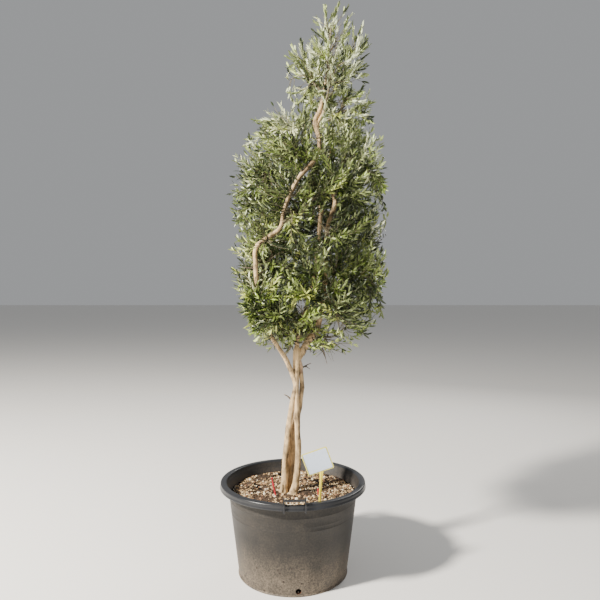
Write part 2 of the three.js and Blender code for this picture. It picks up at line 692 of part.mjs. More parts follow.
// A mass of foliage: its stem, its twigs and their leaves in one solid. What would leave the mass's
// own space, touch a limb or another mass's stem, or hide a bare limb, is skipped.
function makeMass(mass, index, masses, limbs, stems) {
  const random = seeded(FIRST_SEED + index);
  const space = spaceOf(mass, masses);
  const stem = stems[index];
  const limbPieces = Object.values(limbs).flatMap((limb) => piecesOf(limb.path));
  const stemPieces = stems.flatMap((other) => (other === stem ? [] : piecesOf(other)));
  const obstacles = [...limbPieces, ...stemPieces];
  const bare = BARE_LIMBS.flatMap(({ limb, from, to }) => (
    piecesOf(limbs[limb].path).filter(({ line }) => line.start.z >= from && line.end.z <= to)
  ));
  const twigs = [];
  for (let i = 0; i < TWIGS_PER_MASS; i += 1) {
    const twig = twigOf(mass, stem, space, i, random);
    const pieces = piecesOf(twig);
    const free = pieces.every((piece) => clearOf(obstacles, piece.line, piece.radius));
    if (free && twig.rings.every(space.inside)) {
      twigs.push(twig);
    }
  }
  const grown = [stem, ...twigs].map((path) => ({
    edges: piecesOf(path).map((piece) => piece.line),
    blade: [],
  }));
  const leaves = [];
  const fits = (leaf, root) => cornersOf(leaf.shape).every(space.inside)
    && BARE_SHARES.every((share) => !hidesLimb(bare, root.clone().lerp(leaf.tip, share)))
    && clearOf(obstacles, new THREE.Line3(root, leaf.tip), LEAF_WIDTH / 2)
    && ![...grown, ...leaves].some((other) => cross(leaf, other));
  twigs.forEach((twig) => addLeaves(twig, leaves, fits, random));
  const parts = [
    tube(stem, STEM_SIDES),
    ...twigs.map((twig) => tube(twig, TWIG_SIDES)),
    ...leaves.map((leaf) => solidOf(leaf.shape)),
  ];
  let solid = wasm.Manifold.union(parts);
  for (const limb of Object.values(limbs)) {
    solid = solid.subtract(limb.grown);
  }
  return onePiece(solid);
}

// The finishes, as colour, roughness and metalness.
const FINISHES = {
  tub: [0x5d5953, 0.7, 0],
  soil: [0xb7a288, 0.95, 0],
  bark: [0xcdbb95, 0.85, 0],
  foliage: [0x7c8c5c, 0.6, 0],
  card: [0xdde5ee, 0.6, 0],
  holder: [0xe6d98c, 0.5, 0],
  peg: [0xb4232c, 0.4, 0],
};

const tree = new THREE.Group();

function addPiece(name, solid, finish) {
  const [color, roughness, metalness] = FINISHES[finish];
  const material = new THREE.MeshStandardMaterial({ color, roughness, metalness, flatShading: true });
  const mesh = new THREE.Mesh(geometryOf(solid), material);
  mesh.name = name;
  tree.add(mesh);
}

addPiece("tub", makeTub(), "tub");
addPiece("soil", makeSoil(), "soil");
addPiece("grip_front", makeGrip(GRIP_TURN), "tub");
addPiece("grip_back", makeGrip(GRIP_TURN + 180), "tub");
addPiece("label_card", makeCard(), "card");
addPiece("label_holder", makeHolder(), "holder");
for (const peg of PEGS) {
  addPiece(peg.name, makePeg(peg), "peg");
}

const limbs = makeLimbs();
for (const [name, limb] of Object.entries(limbs)) {
  addPiece(name, limb.solid, "bark");
}

const masses = listMasses();
const stems = placeStems(masses, limbs);
masses.forEach((mass, index) => {
  addPiece(mass.name, makeMass(mass, index, masses, limbs, stems), "foliage");
});

export default tree;
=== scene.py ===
# %% [markdown]
# # A potted olive tree
#
# A tall, slender olive stands in a round black nursery tub. Three stems lean on each other, leaders
# wind up out of their fork, and a dense crown of narrow grey-green leaves hides most of them.
# This lesson dresses the plain solids of the tree in bark, twigs, leaves, gravel and moulded plastic.
# Lengths are in metres here, but the rule by which the crown grows is written in millimetres, because
# its sizes are easier to read that way.

# %% Load the frame
import json
import math

import bmesh
import bpy
import numpy as np
from mathutils import Matrix, Vector, noise

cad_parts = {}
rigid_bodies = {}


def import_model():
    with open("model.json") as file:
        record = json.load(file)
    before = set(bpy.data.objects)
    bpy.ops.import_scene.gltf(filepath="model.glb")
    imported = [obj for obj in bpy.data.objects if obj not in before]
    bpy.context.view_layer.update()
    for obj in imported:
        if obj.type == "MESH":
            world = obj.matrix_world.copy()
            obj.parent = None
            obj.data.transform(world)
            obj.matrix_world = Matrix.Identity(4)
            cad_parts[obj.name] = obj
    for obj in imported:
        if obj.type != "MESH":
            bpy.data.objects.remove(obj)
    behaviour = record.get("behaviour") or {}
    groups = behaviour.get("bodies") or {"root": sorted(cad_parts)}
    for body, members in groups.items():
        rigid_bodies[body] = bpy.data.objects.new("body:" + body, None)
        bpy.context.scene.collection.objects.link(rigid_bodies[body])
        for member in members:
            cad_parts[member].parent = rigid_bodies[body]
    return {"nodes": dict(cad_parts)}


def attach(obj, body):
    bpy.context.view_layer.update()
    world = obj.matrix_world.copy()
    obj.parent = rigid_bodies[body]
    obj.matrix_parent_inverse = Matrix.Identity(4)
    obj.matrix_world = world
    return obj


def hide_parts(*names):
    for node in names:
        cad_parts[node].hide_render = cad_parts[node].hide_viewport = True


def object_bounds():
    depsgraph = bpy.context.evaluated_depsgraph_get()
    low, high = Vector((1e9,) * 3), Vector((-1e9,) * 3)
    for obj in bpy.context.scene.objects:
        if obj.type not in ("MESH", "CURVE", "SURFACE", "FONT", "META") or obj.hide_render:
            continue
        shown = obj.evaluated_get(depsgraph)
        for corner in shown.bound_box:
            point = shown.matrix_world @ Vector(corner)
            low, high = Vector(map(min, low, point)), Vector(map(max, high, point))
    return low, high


for obj in list(bpy.data.objects):
    bpy.data.objects.remove(obj)
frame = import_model()
cad_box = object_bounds()
BODY = "root"
MM = 0.001
print("nodes", len(frame["nodes"]), "box", [[round(v, 3) for v in corner] for corner in cad_box])

# %% [markdown]
# ## Camera
#
# The photo was taken from standing height with the camera held level. The ellipse of the tub's rim
# gives the distance, and the tub's sides give the height. A level camera keeps the stems upright in
# the picture, so no shift is needed.

# %% Camera
CAMERA_PLACE = (0.0368, -2.9, 1.413)
camera_data = bpy.data.cameras.new("camera")
camera_data.sensor_width = 36.0
camera_data.lens = 33.06
camera = bpy.data.objects.new("camera", camera_data)
camera.location = CAMERA_PLACE
camera.rotation_euler = (math.radians(90), 0, 0)
bpy.context.scene.collection.objects.link(camera)
bpy.context.scene.camera = camera
print("camera", CAMERA_PLACE, "lens", camera_data.lens)

# %% [markdown]
# ## Studio
#
# A leafy crown needs one clear light direction to show its depth, so a soft round key hangs front left,
# where the sun stood. A panel would leave the floor behind it dark, so the key is a ball. A pale sky
# fills the shadows, and a weak light from behind lifts the edges. A floor much wider than the view joins
# the sky without a visible corner.

# %% Lights
KEY_PLACE = (-5.2, -3.2, 5.0)


def look_at(obj, target):
    obj.rotation_euler = (Vector(target) - obj.location).to_track_quat("-Z", "Y").to_euler()


def add_light(name, kind, place, target, size, power, tint):
    """A round glowing ball for a POINT light, or a round panel for an AREA light."""
    data = bpy.data.lights.new(name, kind)
    if kind == "AREA":
        data.shape = "DISK"
        data.size = size
    else:
        data.shadow_soft_size = size / 2
    data.energy = power
    data.color = tint
    lamp = bpy.data.objects.new(name, data)
    lamp.location = place
    look_at(lamp, target)
    bpy.context.scene.collection.objects.link(lamp)
    return lamp


add_light("key", "POINT", KEY_PLACE, (0.05, 0, 1.5), 0.8, 8400, (1.0, 0.95, 0.86))
add_light("fill", "AREA", (3.5, -4.5, 2.4), (0.05, 0, 1.4), 3.5, 50, (0.86, 0.92, 1.0))
add_light("back", "AREA", (2.5, 4.5, 4.0), (0.05, 0, 1.8), 2.5, 120, (1.0, 0.97, 0.92))

# %% Sky and floor
SKY_TINT = (0.96, 0.98, 1.0, 1)
SKY_STRENGTH = 0.36
FLOOR_REACH = 150

world = bpy.data.worlds.new("studio")
bpy.context.scene.world = world
world.use_nodes = True
sky = world.node_tree.nodes["Background"]
sky.inputs["Color"].default_value = SKY_TINT
sky.inputs["Strength"].default_value = SKY_STRENGTH

floor_mesh = bpy.data.meshes.new("floor")
floor_corners = [(x * FLOOR_REACH, y * FLOOR_REACH, 0) for x, y in ((-1, -1), (1, -1), (1, 1), (-1, 1))]
floor_mesh.from_pydata(floor_corners, [], [(0, 1, 2, 3)])
floor = bpy.data.objects.new("floor", floor_mesh)
bpy.context.scene.collection.objects.link(floor)
print("floor", [2 * FLOOR_REACH] * 2, "sky", SKY_STRENGTH)

# %% [markdown]
# ## Small helpers
#
# Every piece is a mesh whose object stands at the origin, so object coordinates are the tree's own
# coordinates and a pattern runs on from one piece to the next. Meshes made of many repeated shapes are
# gathered as arrays first, because one large mesh is much faster to make than thousands of small ones.


# %% Pieces and meshes
def dress(name, mesh, materials, nodes=(), smooth=True):
    """Makes a piece of the tree from a mesh: its materials and the nodes it stands for."""
    for material in materials:
        mesh.materials.append(material)
    if smooth:
        mesh.shade_smooth()
    piece = bpy.data.objects.new(name, mesh)
    bpy.context.scene.collection.objects.link(piece)
    if nodes:
        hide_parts(*nodes)
    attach(piece, BODY)
    return piece


def mesh_of(name, vertices, faces, face_materials=None):
    """A mesh from an array of vertices and a list or array of faces."""
    mesh = bpy.data.meshes.new(name)
    mesh.from_pydata(np.asarray(vertices).tolist(), [], [tuple(face) for face in faces])
    if face_materials is not None:
        mesh.polygons.foreach_set("material_index", np.asarray(face_materials, dtype=np.int32))
    mesh.update()
    return mesh


print("pieces ride on", BODY)

# %% [markdown]
# A material is a tree of nodes. Setting up each node by hand takes many lines that look alike, so short
# helpers add a node with its values, mix two colours, or do a sum. Each takes a socket or a plain value.
# The mix node has its inputs for colours at the numbers 6 and 7.


# %% Nodes
def feed(tree, socket, value):
    """Gives a socket a link or a plain value."""
    if isinstance(value, bpy.types.NodeSocket):
        tree.links.new(value, socket)
    else:
        socket.default_value = value


def add_node(tree, kind, **values):
    """A node with its settings, and links or values for its sockets. Underscores stand for spaces."""
    node = tree.nodes.new(kind)
    for name, value in values.items():
        socket = node.inputs.get(name.replace("_", " "))
        if socket is not None and not hasattr(node, name):
            feed(tree, socket, value)
        else:
            setattr(node, name, value)
    return node


def mix_colours(tree, factor, first, second):
    node = add_node(tree, "ShaderNodeMix", data_type="RGBA")
    for index, value in ((0, factor), (6, first), (7, second)):
        feed(tree, node.inputs[index], value)
    return node.outputs[2]


def calculate(tree, operation, first, second, clamp=False):
    node = add_node(tree, "ShaderNodeMath", operation=operation, use_clamp=clamp)
    feed(tree, node.inputs[0], first)
    feed(tree, node.inputs[1], second)
    return node.outputs[0]


def stretched(tree, place, factors):
    """A place times three factors, which draws a pattern out along an axis."""
    node = add_node(tree, "ShaderNodeVectorMath", operation="MULTIPLY")
    feed(tree, node.inputs[0], place)
    feed(tree, node.inputs[1], factors)
    return node.outputs["Vector"]


print("node helpers ready")


# %% Groups and materials
def new_group(name, inputs, outputs):
    """An empty shader group with named sockets. Returns the group, its input and its output node."""
    group = bpy.data.node_groups.new(name, "ShaderNodeTree")
    kinds = {"value": "NodeSocketFloat", "colour": "NodeSocketColor"}
    for socket, kind in inputs.items():
        group.interface.new_socket(socket, in_out="INPUT", socket_type=kinds[kind])
    for socket, kind in outputs.items():
        group.interface.new_socket(socket, in_out="OUTPUT", socket_type=kinds[kind])
    return group, group.nodes.new("NodeGroupInput"), group.nodes.new("NodeGroupOutput")


def use_group(tree, group, **values):
    return add_node(tree, "ShaderNodeGroup", node_tree=group, **values)


def new_material(name, base, roughness, specular=0.5):
    """A material with a plain Principled shader. Returns it with its tree and its shader."""
    material = bpy.data.materials.new(name)
    material.use_nodes = True
    tree = material.node_tree
    shader = tree.nodes["Principled BSDF"]
    shader.inputs["Base Color"].default_value = (*base, 1)
    shader.inputs["Roughness"].default_value = roughness
    shader.inputs["Specular IOR Level"].default_value = specular
    return material, tree, shader


def bump(tree, shader, height, strength, distance):
    """Lets a height feed the shader's normal."""
    node = add_node(tree, "ShaderNodeBump", Strength=strength, Distance=distance, Height=height)
    tree.links.new(node.outputs["Normal"], shader.inputs["Normal"])


print("material helpers ready")

# %% [markdown]
# ## Shared effects
#
# Three effects serve many finishes. *Mottle* mixes two tones in soft patches, as in soil, stone and
# leaves. *Dust* lays a pale veil where dirt settles and splashes, thicker towards a height, with specks
# in it and faint runs where water ran down. *Streaks* gives long vertical marks with a height of their
# own, as in bark. Its dark tone falls in the low parts of that height and in broad patches, which is
# partly the bark's own colour and partly painted shade. Each is built once as a group, and a material
# that uses it sets its own sizes and tones.


# %% Mottle
def make_mottle():
    group, given, result = new_group(
        "mottle",
        {"Tone": "colour", "Other Tone": "colour", "Scale": "value", "Contrast": "value"},
        {"Colour": "colour", "Height": "value"},
    )
    place = group.nodes.new("ShaderNodeTexCoord").outputs["Object"]
    patches = add_node(group, "ShaderNodeTexNoise", Vector=place, Scale=given.outputs["Scale"],
                       Detail=6.0, Roughness=0.6)
    centred = calculate(group, "SUBTRACT", patches.outputs["Fac"], 0.5)
    spread = calculate(group, "MULTIPLY", centred, given.outputs["Contrast"])
    share = calculate(group, "ADD", spread, 0.5, clamp=True)
    mixed = mix_colours(group, share, given.outputs["Tone"], given.outputs["Other Tone"])
    group.links.new(mixed, result.inputs["Colour"])
    group.links.new(share, result.inputs["Height"])
    return group


MOTTLE = make_mottle()
print("group", MOTTLE.name)


# %% Dust
def make_dust():
    group, given, result = new_group(
        "dust",
        {"Base": "colour", "Dust": "colour", "Amount": "value", "Scale": "value", "Low": "value",
         "High": "value"},
        {"Colour": "colour", "Mask": "value", "Height": "value"},
    )
    place = group.nodes.new("ShaderNodeTexCoord").outputs["Object"]
    height = add_node(group, "ShaderNodeSeparateXYZ", Vector=place)
    fall = add_node(group, "ShaderNodeMapRange", clamp=True, interpolation_type="SMOOTHSTEP",
                    Value=height.outputs["Z"], From_Min=given.outputs["Low"],
                    From_Max=given.outputs["High"], To_Min=1.0, To_Max=0.15)
    clouds = add_node(group, "ShaderNodeTexNoise", Vector=place, Scale=given.outputs["Scale"], Detail=8.0,
                      Roughness=0.65)
    drifts = add_node(group, "ShaderNodeMapRange", clamp=True, Value=clouds.outputs["Fac"], From_Min=0.1,
                      From_Max=0.9)
    specks = add_node(group, "ShaderNodeTexNoise", Vector=place, Scale=125.0, Detail=5.0, Roughness=0.75)
    sharper = calculate(group, "MULTIPLY", specks.outputs["Fac"], 5.0)
    grains = calculate(group, "ADD", sharper, -1.5)
    runs = add_node(group, "ShaderNodeTexNoise", Vector=stretched(group, place, (1.0, 1.0, 0.09)),
                    Scale=34.0, Detail=4.0, Roughness=0.6)
    washed = calculate(group, "ADD", runs.outputs["Fac"], 0.5)
    both = calculate(group, "MULTIPLY", drifts.outputs["Result"], grains)
    uneven = calculate(group, "MULTIPLY", both, washed)
    covered = calculate(group, "MULTIPLY", uneven, given.outputs["Amount"])
    mask = calculate(group, "MULTIPLY", covered, fall.outputs["Result"], clamp=True)
    veiled = mix_colours(group, mask, given.outputs["Base"], given.outputs["Dust"])
    group.links.new(veiled, result.inputs["Colour"])
    group.links.new(mask, result.inputs["Mask"])
    group.links.new(specks.outputs["Fac"], result.inputs["Height"])
    return group


DUST = make_dust()
print("group", DUST.name)


# %% Streaks
def make_streaks():
    group, given, result = new_group(
        "streaks",
        {"Light": "colour", "Dark": "colour", "Scale": "value", "Stretch": "value"},
        {"Colour": "colour", "Height": "value"},
    )
    place = group.nodes.new("ShaderNodeTexCoord").outputs["Object"]
    shrink = add_node(group, "ShaderNodeCombineXYZ", X=1.0, Y=1.0, Z=given.outputs["Stretch"])
    drawn = stretched(group, place, shrink.outputs["Vector"])
    fine = add_node(group, "ShaderNodeTexNoise", Vector=drawn, Scale=given.outputs["Scale"], Detail=9.0,
                    Roughness=0.7, Distortion=0.6)
    wide = add_node(group, "ShaderNodeTexNoise", Vector=place, Scale=14.0, Detail=4.0, Roughness=0.6)
    total = calculate(group, "ADD", fine.outputs["Fac"], wide.outputs["Fac"])
    share = add_node(group, "ShaderNodeMapRange", clamp=True, Value=total, From_Min=0.80, From_Max=1.15)
    # The dark tone falls where the fine noise, which is also the bump's height, is low, and in broad
    # patches: painted shade in the hollows and dapples, on top of the bark's own darker streaks.
    mixed = mix_colours(group, share.outputs["Result"], given.outputs["Dark"], given.outputs["Light"])
    group.links.new(mixed, result.inputs["Colour"])
    group.links.new(fine.outputs["Fac"], result.inputs["Height"])
    return group


STREAKS = make_streaks()
print("group", STREAKS.name)


# %% [markdown]
# ## Finishes
#
# The tub is black polyethylene, dulled by sun and splashed with pale soil, most of all near its foot.
# Bark is warm beige and darker in its hollows, partly its own colour and partly painted shade. Gravel is
# a mix of tan, pink, brown and white chips. Leaves are grey-green and slightly waxy above and silvery
# below. Their tone changes from silvery shoots at the top, partly painted highlight, through nearly black
# ones deep inside, which is painted shade, to yellow-green ones at the lower front, partly painted
# highlight. Dead wood and thin twigs are dark, partly their own colour and partly painted shade.


# %% Three kinds of finish
def mottled(name, tone, other, scale, contrast=3.0, roughness=0.8, relief=0.3, depth=0.002,
            specular=0.4):
    """A material whose tone changes in soft patches."""
    material, tree, shader = new_material(name, tone, roughness, specular)
    patches = use_group(tree, MOTTLE, Tone=(*tone, 1), Other_Tone=(*other, 1), Scale=scale,
                        Contrast=contrast)
    tree.links.new(patches.outputs["Colour"], shader.inputs["Base Color"])
    bump(tree, shader, patches.outputs["Height"], relief, depth)
    return material


def dusty(name, base, dust, amount, low, high, scale=9.0, roughness=0.6):
    """Moulded plastic under a veil of dust."""
    material, tree, shader = new_material(name, base, roughness, 0.32)
    veil = use_group(tree, DUST, Base=(*base, 1), Dust=(*dust, 1), Amount=amount, Scale=scale, Low=low,
                     High=high)
    tree.links.new(veil.outputs["Colour"], shader.inputs["Base Color"])
    rough = add_node(tree, "ShaderNodeMapRange", clamp=True, Value=veil.outputs["Mask"],
                     To_Min=roughness - 0.12, To_Max=0.95)
    tree.links.new(rough.outputs["Result"], shader.inputs["Roughness"])
    bump(tree, shader, veil.outputs["Height"], 0.25, 0.0006)
    return material


def bark(name, light, dark, scale=46.0, stretch=0.22):
    """Bark with long marks in it. Its dark tone lies in the hollows and in broad patches: partly the bark's
    own colour, partly painted shade.
    """
    material, tree, shader = new_material(name, light, 0.88, 0.25)
    marks = use_group(tree, STREAKS, Light=(*light, 1), Dark=(*dark, 1), Scale=scale, Stretch=stretch)
    tree.links.new(marks.outputs["Colour"], shader.inputs["Base Color"])
    bump(tree, shader, marks.outputs["Height"], 0.55, 0.0025)
    return material


print("kinds", [kind.__name__ for kind in (mottled, dusty, bark)])

# %% Plastic, bark and earth
TUB_PLASTIC = dusty("tub_plastic", (0.010, 0.010, 0.0105), (0.40, 0.315, 0.225), 0.52, 0.0, 0.25)
RIM_PLASTIC = dusty("rim_plastic", (0.015, 0.016, 0.019), (0.24, 0.23, 0.22), 0.08, 0.0, 0.9,
                    roughness=0.40)
INNER_PLASTIC = dusty("inner_plastic", (0.016, 0.016, 0.017), (0.22, 0.17, 0.12), 0.5, 0.36, 0.47)
DARK_MUD = mottled("dark_mud", (0.050, 0.034, 0.024), (0.022, 0.016, 0.012), 120.0)
RUST_DIRT = mottled("rust_dirt", (0.16, 0.06, 0.025), (0.05, 0.03, 0.02), 90.0)
# Bark: a warm beige, and a dark tone that is partly its own colour and partly painted shade in the hollows
# and patches.
BARK = bark("bark", (0.68, 0.480, 0.262), (0.12, 0.082, 0.046))
TORN_BARK = bark("torn_bark", (0.52, 0.37, 0.24), (0.24, 0.15, 0.09), 70.0)
CUT_WOOD = mottled("cut_wood", (0.62, 0.50, 0.34), (0.35, 0.26, 0.17), 120.0)
# Dead wood: grey-brown of its own, darkened further as painted shade, since the dead twigs under the right
# bough stand in shade.
SHADED_DEAD_WOOD = bark("dead_wood_painted_shade", (0.21, 0.165, 0.13), (0.09, 0.07, 0.055), 60.0)
# Twig bark: grey-brown of its own, darkened further as painted shade for the twigs inside the crown.
SHADED_TWIG_BARK = bark("twig_bark_painted_shade", (0.22, 0.19, 0.12), (0.08, 0.066, 0.040), 80.0)
SOIL_EARTH = mottled("soil_earth", (0.085, 0.050, 0.027), (0.028, 0.017, 0.010), 60.0, relief=0.8,
                     depth=0.006)
FLOOR_TINT = (0.80, 0.78, 0.75)
floor.data.materials.append(mottled("studio_floor", FLOOR_TINT, FLOOR_TINT, 1.0, 1.0, 0.9, 0.0))
print("materials", len(bpy.data.materials))

# %% [markdown]
# ## The tree's plan
#
# The solids of this tree were grown by a rule, and the same rule is written here again, so that bark,
# twigs and leaves come out exactly where the solids have them. The limbs follow short lists of places
# where they change course. The crown is one rounded body, cut into as many spaces as it has masses of
# foliage, with a few more bodies for its top, its shoulder and the spray that hangs low on the right.

# %% Places and radii of the limbs, in millimetres
GAP = 0.3
SOIL_LEVEL = 415
LIMBS = {
    "stem_main": {
        "route": [(3, -66, SOIL_LEVEL + GAP), (14, -64, 468), (27, -56, 597), (23, -48, 766),
                  (16, -40, 951), (19, -30, 1130)],
        "radii": [25, 17.5, 15.5, 14.5, 14, 19]},
    "stem_left": {
        "route": [(-49, -40, SOIL_LEVEL + GAP), (-44, -38, 480), (-38, -36, 590), (-22, -40, 735),
                  (-8, -45, 854), (10, -46, 950)],
        "radii": [24, 17, 16, 14, 12, 9]},
    "stem_back": {
        "route": [(-14, 6, SOIL_LEVEL + GAP), (-12, 2, 480), (-6, 0, 600), (10, -2, 730),
                  (36, -8, 862), (47, -10, 980), (33, -20, 1095)],
        "radii": [18, 13, 12, 12, 11.5, 11.5, 12]},
    "bough_left": {
        "route": [(8, -44, 1000), (-20, -56, 1074), (-45, -70, 1125), (-104, -100, 1220),
                  (-170, -140, 1363), (-176, -165, 1492)],
        "radii": [13, 12.5, 12, 11, 11, 11.5]},
    "leader_left": {
        "route": [(-176, -165, 1487), (-183, -172, 1590), (-174, -175, 1682), (-66, -155, 1768),
                  (-42, -142, 1866), (20, -110, 2014), (108, -70, 2128), (137, -59, 2184)],
        "radii": [11.5, 11.2, 11.5, 10, 9.5, 11.5, 11, 9.5]},
    "leader_top": {
        "route": [(137, -59, 2179), (136, -52, 2240), (123, -45, 2310), (119, -40, 2348), (146, -30, 2420),
                  (172, -12, 2570)],
        "radii": [9.5, 9.5, 15.5, 13, 10, 6]},
    "branch_top": {
        "route": [(123, -44, 2318), (146, -46, 2362), (170, -44, 2412)],
        "radii": [7, 6.5, 6]},
    "bough_right": {
        "route": [(24, -26, 1095), (58, -14, 1160), (84, 0, 1203), (122, 15, 1254), (160, 24, 1400),
                  (172, 10, 1571), (171, 0, 1713)],
        "radii": [16, 18, 19, 18, 13, 11, 10]},
    "leader_right": {
        "route": [(171, 0, 1708), (186, -5, 1814), (215, -8, 1900), (218, -5, 1940), (190, 10, 2040),
                  (196, 40, 2210)],
        "radii": [10, 9.4, 12.8, 11, 9, 6]},
    "leader_centre": {
        "route": [(19, -30, 1120), (27, -18, 1230), (66, -10, 1361), (103, -20, 1490), (125, -36, 1650),
                  (145, -50, 1868)],
        "radii": [12, 11, 10.5, 10.5, 10.5, 10]},
}
print("limbs", len(LIMBS))

# %% Places and sizes of the masses
ROUNDNESS = 3
CROWN = {"centre": (93, 0, 1780), "radii": (402, 375, 650)}
CROWN_MASSES = 15
CROWN_SPREAD = 0.56
CROWN_STRETCH = 0.84
CROWN_TURN = 250
CROWN_RISE = 0.2
CROWN_SIZE = 190
OWN_MASSES = [
    {"name": "foliage_top_spire", "centre": (200, -10, 2812), "radii": (102, 105, 172), "rise": 0.1},
    {"name": "foliage_top_left", "centre": (68, -15, 2605), "radii": (108, 115, 155), "rise": 0.2},
    {"name": "foliage_top_right", "centre": (300, 0, 2675), "radii": (92, 120, 242), "rise": 0.1},
    {"name": "foliage_top_front", "centre": (200, -130, 2580), "radii": (130, 105, 150), "rise": 0.2},
    {"name": "foliage_top_back", "centre": (175, 145, 2590), "radii": (145, 120, 170), "rise": 0.2},
    {"name": "foliage_shoulder_right", "centre": (270, -40, 2390), "radii": (140, 140, 130), "rise": 0.1},
    {"name": "foliage_low_right", "centre": (200, -30, 1190), "radii": (125, 120, 110), "rise": -0.15},
]
GOLDEN_ANGLE = math.pi * (3 - math.sqrt(5))


def list_masses():
    masses = [dict(mass, body=mass, size=min(mass["radii"])) for mass in OWN_MASSES]
    for index in range(CROWN_MASSES):
        share = (2 * index + 1) / CROWN_MASSES - 1
        width = CROWN_SPREAD * (1 - abs(share) ** ROUNDNESS) ** (1 / ROUNDNESS)
        turn = math.radians(CROWN_TURN) + index * GOLDEN_ANGLE
        centre = (CROWN["centre"][0] + math.cos(turn) * width * CROWN["radii"][0],
                  CROWN["centre"][1] + math.sin(turn) * width * CROWN["radii"][1],
                  CROWN["centre"][2] + share * CROWN_STRETCH * CROWN["radii"][2])
        masses.append({"name": f"foliage_crown_{index + 1:02d}", "centre": centre, "body": CROWN,
                       "size": CROWN_SIZE, "rise": CROWN_RISE})
    return masses


masses = list_masses()
print("masses", [mass["name"] for mass in masses][:8], "and", len(masses) - 8, "more")

# %% [markdown]
# ### Courses
#
# A limb, stem or twig takes a smooth curve through its places. The solids follow it in straight steps,
# so a course can give both: the curve for smooth bark, and the steps for whatever grows on the solids.

# %% Courses
UP = np.array([0.0, 0.0, 1.0])


def lerp(first, last, share):
    return first + (last - first) * share


def unit(vector):
    return vector / np.linalg.norm(vector)


class Course:
    """The way that a limb, stem or twig takes, with its radius at any share of the way."""

    def __init__(self, route, radii, steps):
        self.places = [np.array(place, dtype=float) for place in route]
        self.radii = radii
        self.steps = steps
        self.rings = [self.curve_at(step / steps) for step in range(steps + 1)]

    def curve_at(self, share):
        """A place on the smooth curve, where each bend's tangent is half the way between its neighbours."""
        places = self.places
        last = len(places) - 1
        bend = min(int(math.floor(last * share)), last - 1)
        t = last * share - bend
        start, end = places[bend], places[bend + 1]
        before = places[bend - 1] if bend > 0 else 2 * start - end
        after = places[bend + 2] if bend + 2 <= last else 2 * end - start
        leave, arrive = 0.5 * (end - before), 0.5 * (after - start)
        square = -3 * start + 3 * end - 2 * leave - arrive
        cube = 2 * start - 2 * end + leave + arrive
        return start + leave * t + square * t * t + cube * t * t * t

    def radius_at(self, share):
        span = len(self.radii) - 1
        first = min(int(math.floor(share * span)), span - 1)
        return lerp(self.radii[first], self.radii[first + 1], share * span - first)

    def point_at(self, share):
        step = min(int(math.floor(share * self.steps)), self.steps - 1)
        return lerp(self.rings[step], self.rings[step + 1], share * self.steps - step)

    def direction_at(self, share):
        step = min(int(math.floor(share * self.steps)), self.steps - 1)
        return unit(self.rings[step + 1] - self.rings[step])

    def pieces(self):
        """The straight steps, as start, end and radius."""
        result = []
        for step in range(self.steps):
            radius = max(self.radius_at(step / self.steps), self.radius_at((step + 1) / self.steps))
            result.append((self.rings[step], self.rings[step + 1], radius))
        return result


print("up", UP)

# %% Courses of the limbs
STEPS_PER_BEND = 2

limb_paths = {}
for name, limb in LIMBS.items():
    limb_paths[name] = Course(limb["route"], limb["radii"], (len(limb["route"]) - 1) * STEPS_PER_BEND)
limb_pieces = [piece for path in limb_paths.values() for piece in path.pieces()]
print("limb steps", len(limb_pieces))

# %% [markdown]
# ### Spaces
#
# Each mass of foliage keeps to its own space, so that no two masses grow through each other. A space is
# a rounded body with flat cuts towards its neighbours. Twigs and leaves also keep clear of the limbs, and
# nothing grows right in front of a limb that the photo shows bare.

# %% Spaces
SPACE_MARGIN = 0.6
REACH_STEP = 4


def in_body(body, point):
    return sum((abs(p - c) / r) ** ROUNDNESS
               for p, c, r in zip(point, body["centre"], body["radii"])) <= 1


class Space:
    """The convex space of one mass among the others."""

    def __init__(self, mass, masses):
        self.centre = np.array(mass["centre"], dtype=float)
        self.body = mass["body"]
        towards, limits = [], []
        for other in masses:
            if other is not mass:
                way = np.array(other["centre"], dtype=float) - self.centre
                distance = np.linalg.norm(way)
                towards.append(way / distance)
                limits.append(mass["size"] / (mass["size"] + other["size"]) * distance - SPACE_MARGIN)
        self.towards = np.array(towards)
        self.limits = np.array(limits)

    def inside(self, point):
        cuts = self.towards @ (point - self.centre)
        return in_body(self.body, point) and bool(np.all(cuts <= self.limits))

    def reach(self, direction):
        distance = 0
        while self.inside(self.centre + direction * (distance + REACH_STEP)):
            distance += REACH_STEP
        return distance


print("margin between spaces", SPACE_MARGIN)

# %% Clearances
LIMB_MARGIN = 3
CLEARANCE_SAMPLES = 12
SMALLEST = 1e-12


class Obstacles:
    """Straight steps that others keep clear of, gathered so that many distances are measured at once."""

    def __init__(self, pieces):
        self.starts = np.array([start for start, _, _ in pieces]).reshape(-1, 3)
        self.ways = np.array([end - start for start, end, _ in pieces]).reshape(-1, 3)
        self.radii = np.array([radius for _, _, radius in pieces])
        self.squares = np.maximum((self.ways ** 2).sum(axis=1), SMALLEST)

    def distances(self, points):
        """How far each point is from the middle line of each step."""
        apart = points[:, None, :] - self.starts[None]
        along = np.clip((apart * self.ways[None]).sum(axis=2) / self.squares, 0, 1)
        return np.linalg.norm(apart - along[..., None] * self.ways[None], axis=2)

    def clear(self, start, end, half_width, margin=LIMB_MARGIN):
        if not len(self.radii):
            return True
        shares = np.arange(CLEARANCE_SAMPLES + 1)[:, None] / CLEARANCE_SAMPLES
        distances = self.distances(start + (end - start) * shares)
        return bool(np.all(distances >= self.radii + half_width + margin))


print("samples along a step", CLEARANCE_SAMPLES)

# %% Limbs that show bare
BARE_LIMBS = [("leader_left", 1500, 2150), ("leader_top", 2190, 2440), ("leader_right", 1760, 1960),
              ("leader_centre", 1690, 1900)]
BARE_MARGIN = 14
BARE_SHARES = (0.35, 0.7, 1)

